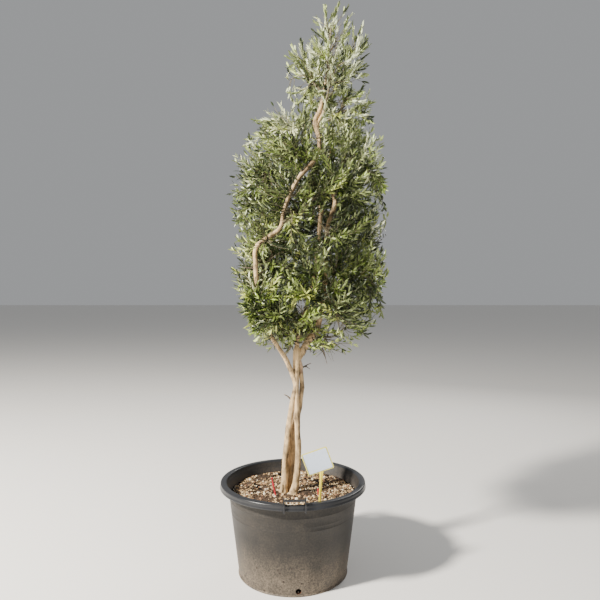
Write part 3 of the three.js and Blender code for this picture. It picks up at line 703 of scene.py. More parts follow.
bare_pieces = []
for name, low, high in BARE_LIMBS:
    bare_pieces += [piece for piece in limb_paths[name].pieces()
                    if piece[0][2] >= low and piece[1][2] <= high]


def hides_limb(point, margin=BARE_MARGIN):
    """Whether a point lies right in front of a limb that shows bare."""
    for start, end, radius in bare_pieces:
        beside = np.array([point[0], start[1], point[2]])
        way = end - start
        share = min(max(float((beside - start) @ way / (way @ way)), 0), 1)
        nearest = start + share * way
        apart = math.hypot(nearest[0] - point[0], nearest[2] - point[2])
        if point[1] < nearest[1] and apart < radius + margin:
            return True
    return False


print("bare steps", len(bare_pieces))

# %% [markdown]
# ### Stems, twigs and sprays
#
# A stem leaves the nearest limb and rises into the middle of its mass, twigs run from it towards the skin
# of the mass's space, and broad simple leaves of the solids stand along the twigs by the golden angle.
# Each of those leaves stands for a spray, so here it gives a shoot its root, its direction and its length.

# %% Stems
STEM_STEPS = 3
STEM_RADII = (8, 6)
STEM_FOOT = 0.5
STEM_HEAD = 0.25
STEM_SAG = 0.12
STEM_FREE = 0.6
STEM_ROOT_SPACING = 40
SPOTS_PER_LIMB = 20
BOUGH_BARE = 0.3
LEADER_BARE = 0.05


def root_spots():
    """Places along the boughs and leaders where a stem may leave them."""
    spots = []
    for name, path in limb_paths.items():
        if not name.startswith("stem"):
            first = BOUGH_BARE if name.startswith("bough") else LEADER_BARE
            shares = [lerp(first, 1, i / SPOTS_PER_LIMB) for i in range(SPOTS_PER_LIMB + 1)]
            spots += [path.point_at(share) for share in shares]
    return spots


def place_stems():
    spots = root_spots()
    limbs_in_the_way = Obstacles(limb_pieces)
    stems = []
    for mass in masses:
        head = np.array(mass["centre"], dtype=float)
        foot = head - UP * STEM_FOOT * mass["size"]
        head = head + UP * STEM_HEAD * mass["size"]
        taken = Obstacles([piece for stem in stems for piece in stem.pieces()])
        everything = Obstacles(limb_pieces + [piece for stem in stems for piece in stem.pieces()])
        for root in sorted(spots, key=lambda spot: np.linalg.norm(spot - foot)):
            if any(np.linalg.norm(stem.rings[0] - root) <= STEM_ROOT_SPACING for stem in stems):
                continue
            bend = (root + head) / 2 - UP * STEM_SAG * np.linalg.norm(root - head)
            way = Course([root, bend, head], STEM_RADII, STEM_STEPS)
            (start, end, radius), *rest = way.pieces()
            if (taken.clear(start, end, radius)
                    and limbs_in_the_way.clear(lerp(start, end, STEM_FREE), end, radius)
                    and all(everything.clear(*piece) for piece in rest)):
                stems.append(way)
                break
    return stems


stems = place_stems()
print("stems", len(stems), "for", len(masses), "masses")

# %% Broad leaves
LEAF_WIDTH = 70
LEAF_THICKNESS = 3
LEAF_WIDEST = 0.48
LEAF_NECK = 0.12


def blade_of(root, along, away, length):
    """The corners of a broad leaf, and the edges and triangles that it is kept from crossing with."""
    across = unit(np.cross(away, along))
    flat = unit(np.cross(across, along))

    def place(share, side, rise):
        return (root + along * share * length + across * side * LEAF_WIDTH / 2
                + flat * rise * LEAF_THICKNESS / 2)

    neck, tip = place(LEAF_NECK, 0, 0), place(1, 0, 0)
    left, right = place(LEAF_WIDEST, -1, 0), place(LEAF_WIDEST, 1, 0)
    corners = [root, tip, place(LEAF_WIDEST, 0, 1), place(LEAF_WIDEST, 1, -0.5),
               place(LEAF_WIDEST, -1, -0.5)]
    edges = [(neck, left), (left, tip), (tip, right), (right, neck)]
    return {"root": root, "along": along, "length": length, "tip": tip, "corners": corners,
            "edges": edges, "triangles": [(neck, left, tip), (neck, tip, right)]}


def pierces(edges, triangles):
    """Whether any of the edges passes through any of the triangles."""
    if not edges or not triangles:
        return False
    starts = np.array([start for start, _ in edges])[:, None]
    ways = np.array([end - start for start, end in edges])[:, None]
    a, b, c = (np.array([triangle[k] for triangle in triangles])[None] for k in range(3))
    normal = np.cross(b - a, c - a)
    slope = (ways * normal).sum(axis=2)
    slope = np.where(np.abs(slope) < SMALLEST, SMALLEST, slope)
    share = ((a - starts) * normal).sum(axis=2) / slope
    hit = starts + share[..., None] * ways
    size = (normal ** 2).sum(axis=2)
    u = (np.cross(b - a, hit - a) * normal).sum(axis=2) / size
    v = (np.cross(hit - a, c - a) * normal).sum(axis=2) / size
    return bool(np.any((share >= 0) & (share <= 1) & (u >= 0) & (v >= 0) & (u + v <= 1)))


def cross(one, other):
    return pierces(one["edges"], other["triangles"]) or pierces(other["edges"], one["triangles"])


print("broad leaf", LEAF_WIDTH, "wide")

# %% Twigs and their leaves
TWIGS_PER_MASS = 5
TWIG_REACH = (0.6, 0.8)
TWIG_ROOTS = (0.45, 0.95)
ROOT_STEP = 0.05
TWIG_STEPS = 2
TWIG_RADII = (3.2, 2.4)
LEAVES_PER_TWIG = 6
FIRST_LEAF = 0.24
LEAF_LENGTH = 165
LEAF_ANGLE = 52
END_LEAF_ANGLE = 8
LEAF_SIZES = (0.88, 1.12)
LEAF_ATTEMPTS = 9
ATTEMPT_TURN = 0.9
ATTEMPT_CLOSING = 0.08
ATTEMPT_SHORTENING = 0.05


def twig_of(mass, stem, space, index, random):
    height = 1 - 2 * (index + 0.5) / TWIGS_PER_MASS
    turn = index * GOLDEN_ANGLE + random() * math.pi
    ring = math.sqrt(1 - height * height)
    direction = np.array([math.cos(turn) * ring, math.sin(turn) * ring, height])
    share = lerp(*TWIG_REACH, random())
    end = space.centre + direction * share * space.reach(direction)
    root = lerp(*TWIG_ROOTS, (height + 1) / 2)
    while root < 1 and not space.inside(stem.point_at(root)):
        root += ROOT_STEP
    start = stem.point_at(min(root, 1))
    middle = (start + end) / 2 + UP * mass["rise"] * np.linalg.norm(start - end)
    return Course([start, middle, end], TWIG_RADII, TWIG_STEPS)


def add_leaves(twig, leaves, fits, random):
    first_turn = random() * math.pi
    for index in range(LEAVES_PER_TWIG):
        share = index / (LEAVES_PER_TWIG - 1)
        at = lerp(FIRST_LEAF, 1, share)
        angle = math.radians(lerp(LEAF_ANGLE, END_LEAF_ANGLE, share ** 4))
        along = twig.direction_at(at)
        side = unit(np.cross(UP, along))
        root = twig.point_at(at)
        size = lerp(*LEAF_SIZES, random())
        for attempt in range(LEAF_ATTEMPTS):
            turn = first_turn + index * GOLDEN_ANGLE + attempt * ATTEMPT_TURN
            away = side * math.cos(turn) + np.cross(along, side) * math.sin(turn)
            opening = angle * (1 - ATTEMPT_CLOSING * attempt)
            length = LEAF_LENGTH * size * (1 - ATTEMPT_SHORTENING * attempt)
            leaf = blade_of(root, along * math.cos(opening) + away * math.sin(opening), away, length)
            if fits(leaf):
                leaves.append(leaf)
                break


print("leaves of a twig", LEAVES_PER_TWIG)

# %% Growing the masses
FIRST_SEED = 11
WHOLE = 0xFFFFFFFF
STRIDE = 0x6D2B79F5


class Seeded:
    """The same repeatable stream of numbers from 0 to 1 that the solids were grown with."""

    def __init__(self, seed):
        self.state = seed & WHOLE

    def __call__(self):
        self.state = (self.state + STRIDE) & WHOLE
        mixed = ((self.state ^ (self.state >> 15)) * (self.state | 1)) & WHOLE
        mixed ^= (mixed + (((mixed ^ (mixed >> 7)) * (mixed | 61)) & WHOLE)) & WHOLE
        return (mixed ^ (mixed >> 14)) / (WHOLE + 1)


def grow_mass(index):
    """The twigs and the broad leaves of one mass, as its solid has them."""
    mass = masses[index]
    random = Seeded(FIRST_SEED + index)
    space = Space(mass, masses)
    others = [piece for stem in stems if stem is not stems[index] for piece in stem.pieces()]
    obstacles = Obstacles(limb_pieces + others)
    twigs = []
    for number in range(TWIGS_PER_MASS):
        twig = twig_of(mass, stems[index], space, number, random)
        free = all(obstacles.clear(*piece) for piece in twig.pieces())
        if free and all(map(space.inside, twig.rings)):
            twigs.append(twig)
    grown = [{"edges": [piece[:2] for piece in path.pieces()], "triangles": []}
             for path in [stems[index], *twigs]]
    leaves = []

    def fits(leaf):
        return (all(map(space.inside, leaf["corners"]))
                and not any(hides_limb(lerp(leaf["root"], leaf["tip"], share)) for share in BARE_SHARES)
                and obstacles.clear(leaf["root"], leaf["tip"], LEAF_WIDTH / 2)
                and not any(cross(leaf, other) for other in grown + leaves))

    for twig in twigs:
        add_leaves(twig, leaves, fits, random)
    return {"mass": mass, "space": space, "stem": stems[index], "twigs": twigs, "leaves": leaves}


grown_masses = [grow_mass(index) for index in range(len(masses))]
for kind in ("twigs", "leaves"):
    print(kind, sum(len(grown[kind]) for grown in grown_masses))

# %% [markdown]
# ## Leaves
#
# An olive leaf is a narrow lance, 4 to 6 cm long and about 1 cm wide, dark and waxy above and silvery
# below, with its edges bent down. A flat card could carry a picture of leaves, but it would show as a
# card from the side. So each leaf is a real closed blade of a few faces: two slopes above, meeting in the
# midrib, and one face below, with tones of their own.

# %% One leaf, at unit size
LEAF_STATIONS = ((0.30, 0.92), (0.66, 0.84))
RIDGE = 0.012
ARCH = 0.035
TIP_DROP = -0.05


def unit_leaf():
    """Corners as (across, along, up), faces, and whether each face is on the upper side."""
    corners = [(0, 0, 0)]
    for along, width in LEAF_STATIONS:
        corners += [(-width / 2, along, ARCH - RIDGE), (0, along, ARCH + RIDGE)]
        corners.append((width / 2, along, ARCH - RIDGE))
    corners.append((0, 1, TIP_DROP))
    faces = [(0, 3, 2), (0, 2, 1), (0, 1, 3), (3, 6, 5, 2), (2, 5, 4, 1), (1, 4, 6, 3),
             (6, 7, 5), (5, 7, 4), (4, 7, 6)]
    upper = [True, True, False] * 3
    return np.array(corners), faces, upper


LEAF_CORNERS, LEAF_FACES, LEAF_UPPER = unit_leaf()
print("leaf corners", len(LEAF_CORNERS), "faces", len(LEAF_FACES))

# %% [markdown]
# ### Leaf tones
#
# Tones are dealt out by spray: each shoot draws one tone for all its leaves, by where it grows. Shoots at
# the top are silvery, partly olive's own silver and partly painted highlight. Those deep in the crown
# are nearly black, which is painted shade. Shoots at the lower front and some in the middle are
# yellow-green, partly fresh growth and partly painted highlight. A soft mottle in each tone keeps a
# leaf from looking painted.

# %% Leaf finishes
WAXY, DULL = 0.36, 0.75


def leaf_finish(name, tone, other, roughness):
    return mottled(name, tone, other, 38.0, 2.4, roughness, 0.15, 0.001, 0.45)


# Silver, fresh and yellow-green are partly the leaves' own tones and partly painted highlight.
UPPER_TONES = {
    "silver": ((0.50, 0.54, 0.28), (0.68, 0.70, 0.44)),
    "grey_green": ((0.18, 0.225, 0.075), (0.28, 0.33, 0.125)),
    "olive_green": ((0.066, 0.096, 0.015), (0.128, 0.172, 0.031)),
    # Painted shade: a nearly black green for shoots deep in the crown.
    "shade_painted_green": ((0.010, 0.018, 0.003), (0.026, 0.040, 0.008)),
    "fresh": ((0.19, 0.28, 0.032), (0.29, 0.39, 0.06)),
    "yellow_green": ((0.33, 0.39, 0.075), (0.46, 0.49, 0.14)),
}
UNDER_TONES = {
    "silver_under": ((0.38, 0.43, 0.28), (0.50, 0.55, 0.37)),
    "grey_under": ((0.11, 0.135, 0.048), (0.18, 0.215, 0.080)),
    # Painted shade: the underside of the nearly black shoots.
    "shade_painted_under": ((0.030, 0.040, 0.014), (0.060, 0.075, 0.028)),
    "fresh_under": ((0.33, 0.41, 0.13), (0.43, 0.49, 0.19)),
}
UNDER_OF = {"silver": "silver_under", "grey_green": "grey_under", "olive_green": "grey_under",
            "shade_painted_green": "shade_painted_under", "fresh": "fresh_under", "yellow_green": "fresh_under"}
TONES = list(UPPER_TONES) + list(UNDER_TONES)
LEAF_FINISHES = [leaf_finish(f"leaf_{n}", *UPPER_TONES[n], WAXY) for n in UPPER_TONES]
LEAF_FINISHES += [leaf_finish(f"leaf_{n}", *UNDER_TONES[n], DULL) for n in UNDER_TONES]
print("tones", TONES)

# %% How likely each tone is
SILVERY_HEIGHTS = (1950, 2500)
FRESH_HEIGHTS = (1600, 1350)
FRESH_DEPTHS = (40, -120)
PATCH_SIZE = 105
MIDDLE_HEIGHT, MIDDLE_REACH = 1730, 260


def ramp(value, start, end):
    """0 up to a start, 1 from an end on, and even between them."""
    return min(max((value - start) / (end - start), 0), 1)


def tone_weights(place, depth):
    """How likely each upper tone is for a shoot at a place. depth is 0 at the skin, 1 in the middle."""
    high = ramp(place[2], *SILVERY_HEIGHTS)
    low_front = ramp(place[2], *FRESH_HEIGHTS) * ramp(place[1], *FRESH_DEPTHS)
    patch = max(noise.noise(Vector(place) / PATCH_SIZE) + 0.05, 0)
    middle = max(1 - abs(place[2] - MIDDLE_HEIGHT) / MIDDLE_REACH, 0)
    weights = {
        # Silver: partly olive's own silver at the top, partly painted highlight there and in the middle.
        "silver": 0.05 + 2.0 * high + 0.25 * middle,
        "grey_green": 0.55 + 1.25 * high,
        "olive_green": max(1.35 - 0.95 * high - 1.5 * low_front * patch, 0.1),
        # Painted shade: nearly black shoots deep in the crown and among the lower front patches.
        "shade_painted_green": 0.30 * (1 - high) + 5.0 * depth * (1 - 0.45 * high) + 0.9 * low_front,
        # Fresh: partly young growth, partly painted highlight at the lower front.
        "fresh": 0.10 + 9.0 * low_front * patch,
        # Yellow-green: partly fresh growth, partly painted highlight at the lower front, the top and the
        # middle.
        "yellow_green": 0.06 + 4.5 * low_front * patch + 0.25 * high + 0.3 * middle,
    }
    return [weights[tone] for tone in UPPER_TONES]


for height in (1400, 1900, 2600):
    print("weights at", height, [round(weight, 2) for weight in tone_weights((90, -150, height), 0)])

# %% [markdown]
# ### Shoots
#
# A shoot is a thin rod with leaves in opposite pairs, each pair turned a quarter round from the last. Each
# broad leaf of the solid becomes a shoot of the same root, direction and length. Finer shoots fill the
# space between, because the real crown is dense. Scattering their tips at random gives clumps and holes,
# so every new tip keeps a distance from the others, wider in the shade of the middle, where few leaves
# live. Each fine shoot then grows from the nearest fitting twig and bends up to its tip.
#
# First come the places that stay free. Nothing may hide a bare limb or shade it from the key light, and
# the real crown has a few gaps that one can look through. Cutting such gaps out of finished leaves would
# leave half shoots, so a tip isn't placed there at all. A gap is given by its middle x and z, its half
# width and its half height.

# %% Free lines of sight
SIGHT_STEP = 9.0
FORK_TOP = 1236


def sight_lines(eye, pieces):
    """Lines from places all along some limbs to an eye or a lamp, as starts, directions and radii."""
    starts, radii = [], []
    for start, end, radius in pieces:
        count = int(np.linalg.norm(end - start) / SIGHT_STEP) + 1
        starts += [lerp(start, end, (number + 0.5) / count) for number in range(count)]
        radii += [radius] * count
    starts = np.array(starts)
    ways = np.array(eye) / MM - starts
    return starts, ways / np.linalg.norm(ways, axis=1)[:, None], np.array(radii)


fork_pieces = [piece for piece in limb_pieces if piece[1][2] <= FORK_TOP]
SIGHTS = [sight_lines(CAMERA_PLACE, bare_pieces + fork_pieces), sight_lines(KEY_PLACE, bare_pieces)]
print("lines of sight", [len(starts) for starts, _, _ in SIGHTS])


# %% Gaps in the crown
GAPS = np.array([
    (-11, 2558, 47, 26), (53, 2550, 26, 21), (200, 2516, 26, 18), (247, 2455, 16, 32), (253, 2887, 18, 74),
    (237, 2792, 16, 26), (150, 2908, 13, 53), (211, 2739, 18, 37), (311, 2771, 18, 21), (345, 2560, 26, 26),
    (42, 1376, 24, 44), (153, 1292, 37, 24), (237, 1276, 42, 26), (300, 1239, 32, 26), (195, 1213, 32, 21),
    (268, 1176, 32, 21), (184, 1066, 158, 68),
])
RAGGEDNESS = 0.9
RAG_SIZE = 24


def in_the_way(points, margins):
    """Which points stand before a bare limb, as seen by the camera, or shade it from the key light."""
    blocked = np.zeros(len(points), dtype=bool)
    for (starts, ways, radii), margin in zip(SIGHTS, margins):
        apart = points[:, None, :] - starts[None]
        along = (apart * ways[None]).sum(axis=2)
        across = np.linalg.norm(apart - along[..., None] * ways[None], axis=2)
        blocked |= np.any((along > 0) & (across < radii + margin), axis=1)
    return blocked


def in_a_gap(points):
    """Which points stand in a lane of free sight through the crown, as seen from the camera's place."""
    eye = np.array(CAMERA_PLACE) / MM
    seen = eye + (points - eye) * (eye[1] / (eye[1] - points[:, 1:2]))
    wide = (seen[:, None, 0] - GAPS[None, :, 0]) / GAPS[None, :, 2]
    tall = (seen[:, None, 2] - GAPS[None, :, 1]) / GAPS[None, :, 3]
    nearest = np.min(wide ** 2 + tall ** 2, axis=1)
    ragged = [1 + RAGGEDNESS * noise.noise(Vector(spot) / RAG_SIZE) if near < 2 else 1
              for spot, near in zip(seen, nearest)]
    return nearest < np.array(ragged)


print("gaps", len(GAPS))

# %% [markdown]
# Where the upper left bough runs, the photo shows leaves and no bark, so fine shoots stand denser in
# front of it: more places are tried there, and the tips may stand closer.

# %% The veiled bough
VEILED = ("bough_left", 1225, 1480)
VEIL_WIDTH = 60.0
VEIL_DEPTH, VEIL_HEIGHT = 150, 60
VEIL_SPACING = 0.6
VEIL_TRIES = 500

veiled_places = np.array([piece[0] for piece in limb_paths[VEILED[0]].pieces()
                          if VEILED[1] <= piece[0][2] <= VEILED[2]])


def veils_limb(point):
    """Whether a point lies before the upper left bough, which dense leaves hide."""
    beside = np.hypot(veiled_places[:, 0] - point[0], veiled_places[:, 2] - point[2])
    return bool(np.any((beside < VEIL_WIDTH) & (veiled_places[:, 1] > point[1] + 10)))


print("veiled places", len(veiled_places))

# %% Tips of fine shoots
TIP_SPACING = (78.0, 42.5)
TOP_TIP_SPACING = (64.0, 51.0)
HANGING_TIP_SPACING = 62.0
SPACING_DEPTHS = (0.35, 0.75)
AIRY_SHOULDER = 0.3
AIRY_HEIGHTS = (1980, 2230)
TOP_BODIES = 2300
LUMP_SIZE = 115.0
LUMP_DEPTH = 0.42
LUMP_RISE = 0.09
TRIES = 2200
WALL_SPARE = 26.0
MASS_REACH = 330
BOX_SPARE = 8
TIP_MARGINS = (10, 2)
box_low = np.array(cad_box[0]) / MM
box_high = np.array(cad_box[1]) / MM


def skin_share(body, point):
    """0 in the middle of a body and 1 at its skin."""
    shares = [(abs(p - c) / r) ** ROUNDNESS for p, c, r in zip(point, body["centre"], body["radii"])]
    return sum(shares) ** (1 / ROUNDNESS)


def spacing_at(spot, share, mass):
    """The distance that a tip keeps from the others."""
    if mass["rise"] < 0:
        spacing = HANGING_TIP_SPACING
    elif mass["body"]["centre"][2] > TOP_BODIES:
        spacing = lerp(*TOP_TIP_SPACING, ramp(share, *SPACING_DEPTHS))
    else:
        spacing = lerp(*TIP_SPACING, ramp(share, *SPACING_DEPTHS))
        spacing *= 1 + AIRY_SHOULDER * ramp(spot[2], *AIRY_HEIGHTS)
    return spacing * VEIL_SPACING if veils_limb(spot) else spacing


def tips_of(grown, rng):
    """Places for the tips of fine shoots, evenly spread through the space of a mass."""
    space, body = grown["space"], grown["mass"]["body"]
    centre, radii = np.array(body["centre"], dtype=float), np.array(body["radii"], dtype=float)
    low = np.maximum(centre - radii, np.maximum(space.centre - MASS_REACH, box_low + BOX_SPARE))
    high = np.minimum(centre + radii, np.minimum(space.centre + MASS_REACH, box_high - BOX_SPARE))
    tips = np.empty((0, 3))
    before = veiled_places[rng.integers(len(veiled_places), size=VEIL_TRIES)]
    veil = np.array([2 * VEIL_WIDTH, VEIL_DEPTH, VEIL_HEIGHT])
    before = before + (rng.random((VEIL_TRIES, 3)) - (0.5, 1.0, 0.5)) * veil
    for spot in np.vstack([before, low + rng.random((TRIES, 3)) * (high - low)]):
        share = skin_share(body, spot)
        hollow = noise.noise(Vector(spot) / LUMP_SIZE)
        limit = 1 - LUMP_DEPTH * max(hollow, 0) + LUMP_RISE * max(-hollow, 0)
        if share > limit or np.any(space.towards @ (spot - space.centre) > space.limits + WALL_SPARE):
            continue
        spacing = spacing_at(spot, share, grown["mass"])
        if len(tips) and np.min(np.linalg.norm(tips - spot, axis=1)) < spacing:
            continue
        if not in_the_way(spot[None], TIP_MARGINS)[0] and not in_a_gap(spot[None])[0]:
            tips = np.vstack([tips, spot])
    return tips


print("space between tips", TIP_SPACING, TOP_TIP_SPACING)

# %% [markdown]
# Each tip gets its shoot from the root that costs least. Long ways, sharp turns off the twig and, higher
# up, flat or falling ways cost more. So shoots stand nearly upright at the top and spread lower down.

# %% Shoots to the tips
SHOOT_LENGTHS = (50, 235)
ROOTS_PER_TWIG = 12
UPRIGHT_HEIGHTS = (1700, 2400)
TURN_COST = 0.9
TOO_DEAR = 1000
BEND_SHARE, BEND_PULL = 0.42, 0.14
limb_field = Obstacles(limb_pieces)


def shoot_between(root, tip, tangent, lift):
    """A shoot as three places: it leaves a little along its twig and bends to its tip."""
    way = tip - root
    length = np.linalg.norm(way)
    middle = root + way * BEND_SHARE + tangent * BEND_PULL * length - UP * lift * length
    return {"places": (root, middle, tip), "length": length}


def fine_roots(grown):
    """Places and directions along a mass's stem and twigs where fine shoots may start."""
    roots, tangents = [], []
    for path in [grown["stem"], *grown["twigs"]]:
        for share in np.linspace(0.5 if path is grown["stem"] else 0.15, 0.99, ROOTS_PER_TWIG):
            roots.append(path.point_at(share))
            tangents.append(path.direction_at(share))
    return roots, tangents


def cheapest_root(tip, roots, tangents, on_twigs, upright):
    """The number of the root that fits a tip best, or none."""
    ways = tip - roots
    lengths = np.linalg.norm(ways, axis=1)
    agreement = (ways * tangents).sum(axis=1) / np.maximum(lengths, 1)
    agreement[on_twigs:] = 1
    rising = ways[:, 2] / np.maximum(lengths, 1)
    turning, flat = np.maximum(0.55 - agreement, 0), np.maximum(0.6 - rising, 0)
    cost = lengths * (1 + TURN_COST * turning + upright * flat)
    cost = cost + TOO_DEAR * ((lengths < SHOOT_LENGTHS[0]) | (lengths > SHOOT_LENGTHS[1]))
    best = int(np.argmin(cost))
    return best if cost[best] < TOO_DEAR else None


def shoots_of(grown, rng):
    """The shoots of a mass: one for each broad leaf, and finer ones between them."""
    droops = grown["mass"]["rise"] < 0
    upright = 0.0 if droops else 0.5 + 0.7 * ramp(grown["space"].centre[2], *UPRIGHT_HEIGHTS)
    shoots = []
    for leaf in grown["leaves"]:
        tip = leaf["root"] + leaf["along"] * leaf["length"] * 0.97
        shoots.append(shoot_between(leaf["root"], tip, leaf["along"], -0.08 if droops else 0.07))
    roots, tangents = fine_roots(grown)
    on_twigs = len(roots)
    roots, tangents = np.vstack([roots, veiled_places]), np.vstack([tangents, 0 * veiled_places])
    for tip in tips_of(grown, rng):
        best = cheapest_root(tip, roots, tangents, on_twigs, upright)
        if best is not None:
            lift = -0.12 if droops else 0.07 + 0.13 * rng.random() + 0.1 * upright
            shoot = shoot_between(roots[best], tip, tangents[best], lift)
            root, middle, end = shoot["places"]
            clear_start = best >= on_twigs or limb_field.clear(lerp(root, middle, 0.6), middle, 0, 1)
            if clear_start and limb_field.clear(lerp(middle, end, 0.3), end, 0, 5):
                shoots.append(shoot)
    return shoots


print("shoots are", SHOOT_LENGTHS, "mm long")

# %% [markdown]
# ### Leaves on a shoot
#
# Leaves sit on the outer part of a shoot only. They stand off at their base and fold forward to the tip,
# more tightly at the top of the tree, where shoots look like upright spindles.

# %% Places along a shoot
def row_unit(vectors):
    return vectors / np.maximum(np.linalg.norm(vectors, axis=1), 1e-9)[:, None]


def along_shoot(shoot, shares):
    """Places and directions at some shares of a shoot."""
    root, middle, tip = shoot["places"]
    t = np.asarray(shares)[:, None]
    places = root * (1 - t) ** 2 + middle * 2 * t * (1 - t) + tip * t * t
    return places, row_unit((middle - root) * (1 - t) + (tip - middle) * t)


def tones_of(shoot, mass, rng):
    """The upper and the lower tone of a shoot's leaves, as numbers of their finishes."""
    spot = along_shoot(shoot, [0.7])[0][0]
    depth = min(max(1.15 - 1.15 * skin_share(mass["body"], spot), 0), 1)
    weights = np.array(tone_weights(spot, depth))
    # The low hanging spray draws more fresh yellow-green: painted light on a spray that the key light
    # leaves in shade.
    if mass["rise"] < 0:
        weights[TONES.index("fresh")] += 1.5
    tone = int(rng.choice(len(weights), p=weights / weights.sum()))
    return tone, TONES.index(UNDER_OF[TONES[tone]])


print("tones in all", len(TONES))

# %% Leaves of a shoot
PAIR_SPACING = 18.0
TOP_PAIR_SPACING = 13.5
HANGING_PAIR_SPACING = 26.0
LEAFY_LENGTH = 150.0
LEAFY_SHARE = 0.85
SPINDLE_HEIGHTS = (2150, 2500)
LEAF_SPAN = (36, 56)
LEAF_BREADTH = (8.0, 11.0)
TOP_SPAN = (31, 47)
TOP_BREADTH = (7.5, 9.5)
OPENING = (32, 66)
TOP_OPENING = (10, 28)
FULL_TURN = 6.28


def drawn_between(usual, top, high, draws):
    """Values between two ends, where both ends shift from their usual values to those of the top."""
    return lerp(lerp(usual[0], top[0], high), lerp(usual[1], top[1], high), draws)


def leaves_of(shoot, mass, rng):
    """Rows of root, direction, normal, length, breadth and tones, one for each leaf of a shoot."""
    high = ramp(shoot["places"][2][2], *SPINDLE_HEIGHTS)
    hanging = mass["rise"] < 0
    shoot_tones = tones_of(shoot, mass, rng)
    leafy = min(shoot["length"] * LEAFY_SHARE, LEAFY_LENGTH)
    spacing = HANGING_PAIR_SPACING if hanging else lerp(PAIR_SPACING, TOP_PAIR_SPACING, high)
    pairs = max(int(leafy / spacing), 2)
    shares = np.repeat(np.linspace(1 - leafy / shoot["length"], 1.0, pairs + 1), 2)
    count = len(shares)
    places, tangents = along_shoot(shoot, np.clip(shares + 0.02 * (rng.random(count) - 0.5), 0.05, 1))
    sides = row_unit(np.cross(tangents, UP + 0.01))
    others = np.cross(tangents, sides)
    pair = np.arange(count) // 2
    angles = rng.random() * FULL_TURN + pair * math.pi / 2 + (np.arange(count) % 2) * math.pi
    angles = angles + 0.9 * (rng.random(count) - 0.5)
    away = sides * np.cos(angles)[:, None] + others * np.sin(angles)[:, None]
    opening = drawn_between(OPENING, TOP_OPENING, high, rng.random(count))
    opening = np.radians(opening * (1.05 - 0.4 * pair / max(pairs, 1)))
    along = row_unit(tangents * np.cos(opening)[:, None] + away * np.sin(opening)[:, None]
                     + 0.14 * (rng.random((count, 3)) - 0.5))
    faces = tangents * np.sin(opening)[:, None] - away * np.cos(opening)[:, None]
    faces = faces + 0.45 * UP + 0.9 * (rng.random((count, 3)) - 0.5)
    normals = row_unit(faces - along * (faces * along).sum(axis=1)[:, None])
    lengths = drawn_between(LEAF_SPAN, TOP_SPAN, high, rng.random(count))
    lengths = lengths * (0.78 + 0.22 * np.sin(math.pi * np.minimum(pair / max(pairs, 1) + 0.1, 1)))
    breadths = drawn_between(LEAF_BREADTH, TOP_BREADTH, high, rng.random(count))
    if hanging:
        lengths, breadths = lengths * 0.8, breadths * 0.85
    tones = np.tile(shoot_tones, (count, 1))
    return np.column_stack([places, along, normals, lengths, breadths, tones])


print("leaf lengths", LEAF_SPAN, TOP_SPAN)

# %% [markdown]
# ### Leaf meshes
#
# A leaf that would touch a limb, hide a bare one, fill a gap or stand past the tree's box is dropped. The
# other leaves of a mass become one mesh. Its corners are worked out for all leaves at once, one corner
# after the other, because a loop over leaves would be slow.

# %% Leaves that stay
ROOT, ALONG, NORMAL = slice(0, 3), slice(3, 6), slice(6, 9)
LENGTH, BREADTH = slice(9, 10), slice(10, 11)
UPPER, UNDER = 11, 12
LIMB_SPARE, EDGE_SPARE = 4, 3
LEAF_MARGINS = (3, 1)


def kept(rows):
    keep = np.ones(len(rows), dtype=bool)
    for share in (0.5, 1.0):
        points = rows[:, ROOT] + rows[:, ALONG] * rows[:, LENGTH] * share
        keep &= np.all(limb_field.distances(points) > limb_field.radii + LIMB_SPARE, axis=1)
        keep &= np.all((points > box_low + EDGE_SPARE) & (points < box_high - EDGE_SPARE), axis=1)
        keep &= ~in_the_way(points, LEAF_MARGINS) & ~in_a_gap(points)
    return rows[keep]


print("leaves keep", LIMB_SPARE, "mm from limbs")


# %% Leaf meshes
def leaf_mesh(name, rows):
    """One mesh of closed blades, each with its upper and its lower tone."""
    across = np.cross(rows[:, ALONG], rows[:, NORMAL])
    lengths, breadths = rows[:, LENGTH], rows[:, BREADTH]
    corners = []
    for x, y, z in LEAF_CORNERS:
        spot = rows[:, ROOT] + rows[:, ALONG] * lengths * y + across * breadths * x
        corners.append(spot + rows[:, NORMAL] * lengths * z)
    vertices = np.stack(corners, axis=1).reshape(-1, 3) * MM
    count = len(LEAF_CORNERS)
    faces, tones = [], []
    for index in range(len(rows)):
        base = index * count
        upper, under = int(rows[index, UPPER]), int(rows[index, UNDER])
        for face, is_upper in zip(LEAF_FACES, LEAF_UPPER):
            faces.append([base + corner for corner in face])
            tones.append(upper if is_upper else under)
    mesh = bpy.data.meshes.new(name)
    mesh.from_pydata(vertices.tolist(), [], faces)
    mesh.polygons.foreach_set("material_index", np.array(tones, dtype=np.int32))
    mesh.update()
    return mesh


print("leaf meshes ready")

# %% [markdown]
# ### Thin tubes
#
# Twigs and shoots are closed tubes of three to six sides, thousands of them. A bevelled curve for each
# would be slow to turn into a mesh, so rings of corners are placed along each way and joined by faces.


# %% Thin tubes
def ring_frame(direction):
    side = unit(np.cross(direction, UP if abs(direction[2]) < 0.95 else np.array([1.0, 0, 0])))
    return side, np.cross(direction, side)


def ring_faces(rings, sides, first=0):
    """Faces between rings of corners that follow each other."""
    faces = []
    for ring in range(rings - 1):
        for k in range(sides):
            a, b = first + ring * sides + k, first + ring * sides + (k + 1) % sides
            faces.append((a, b, b + sides, a + sides))
    return faces


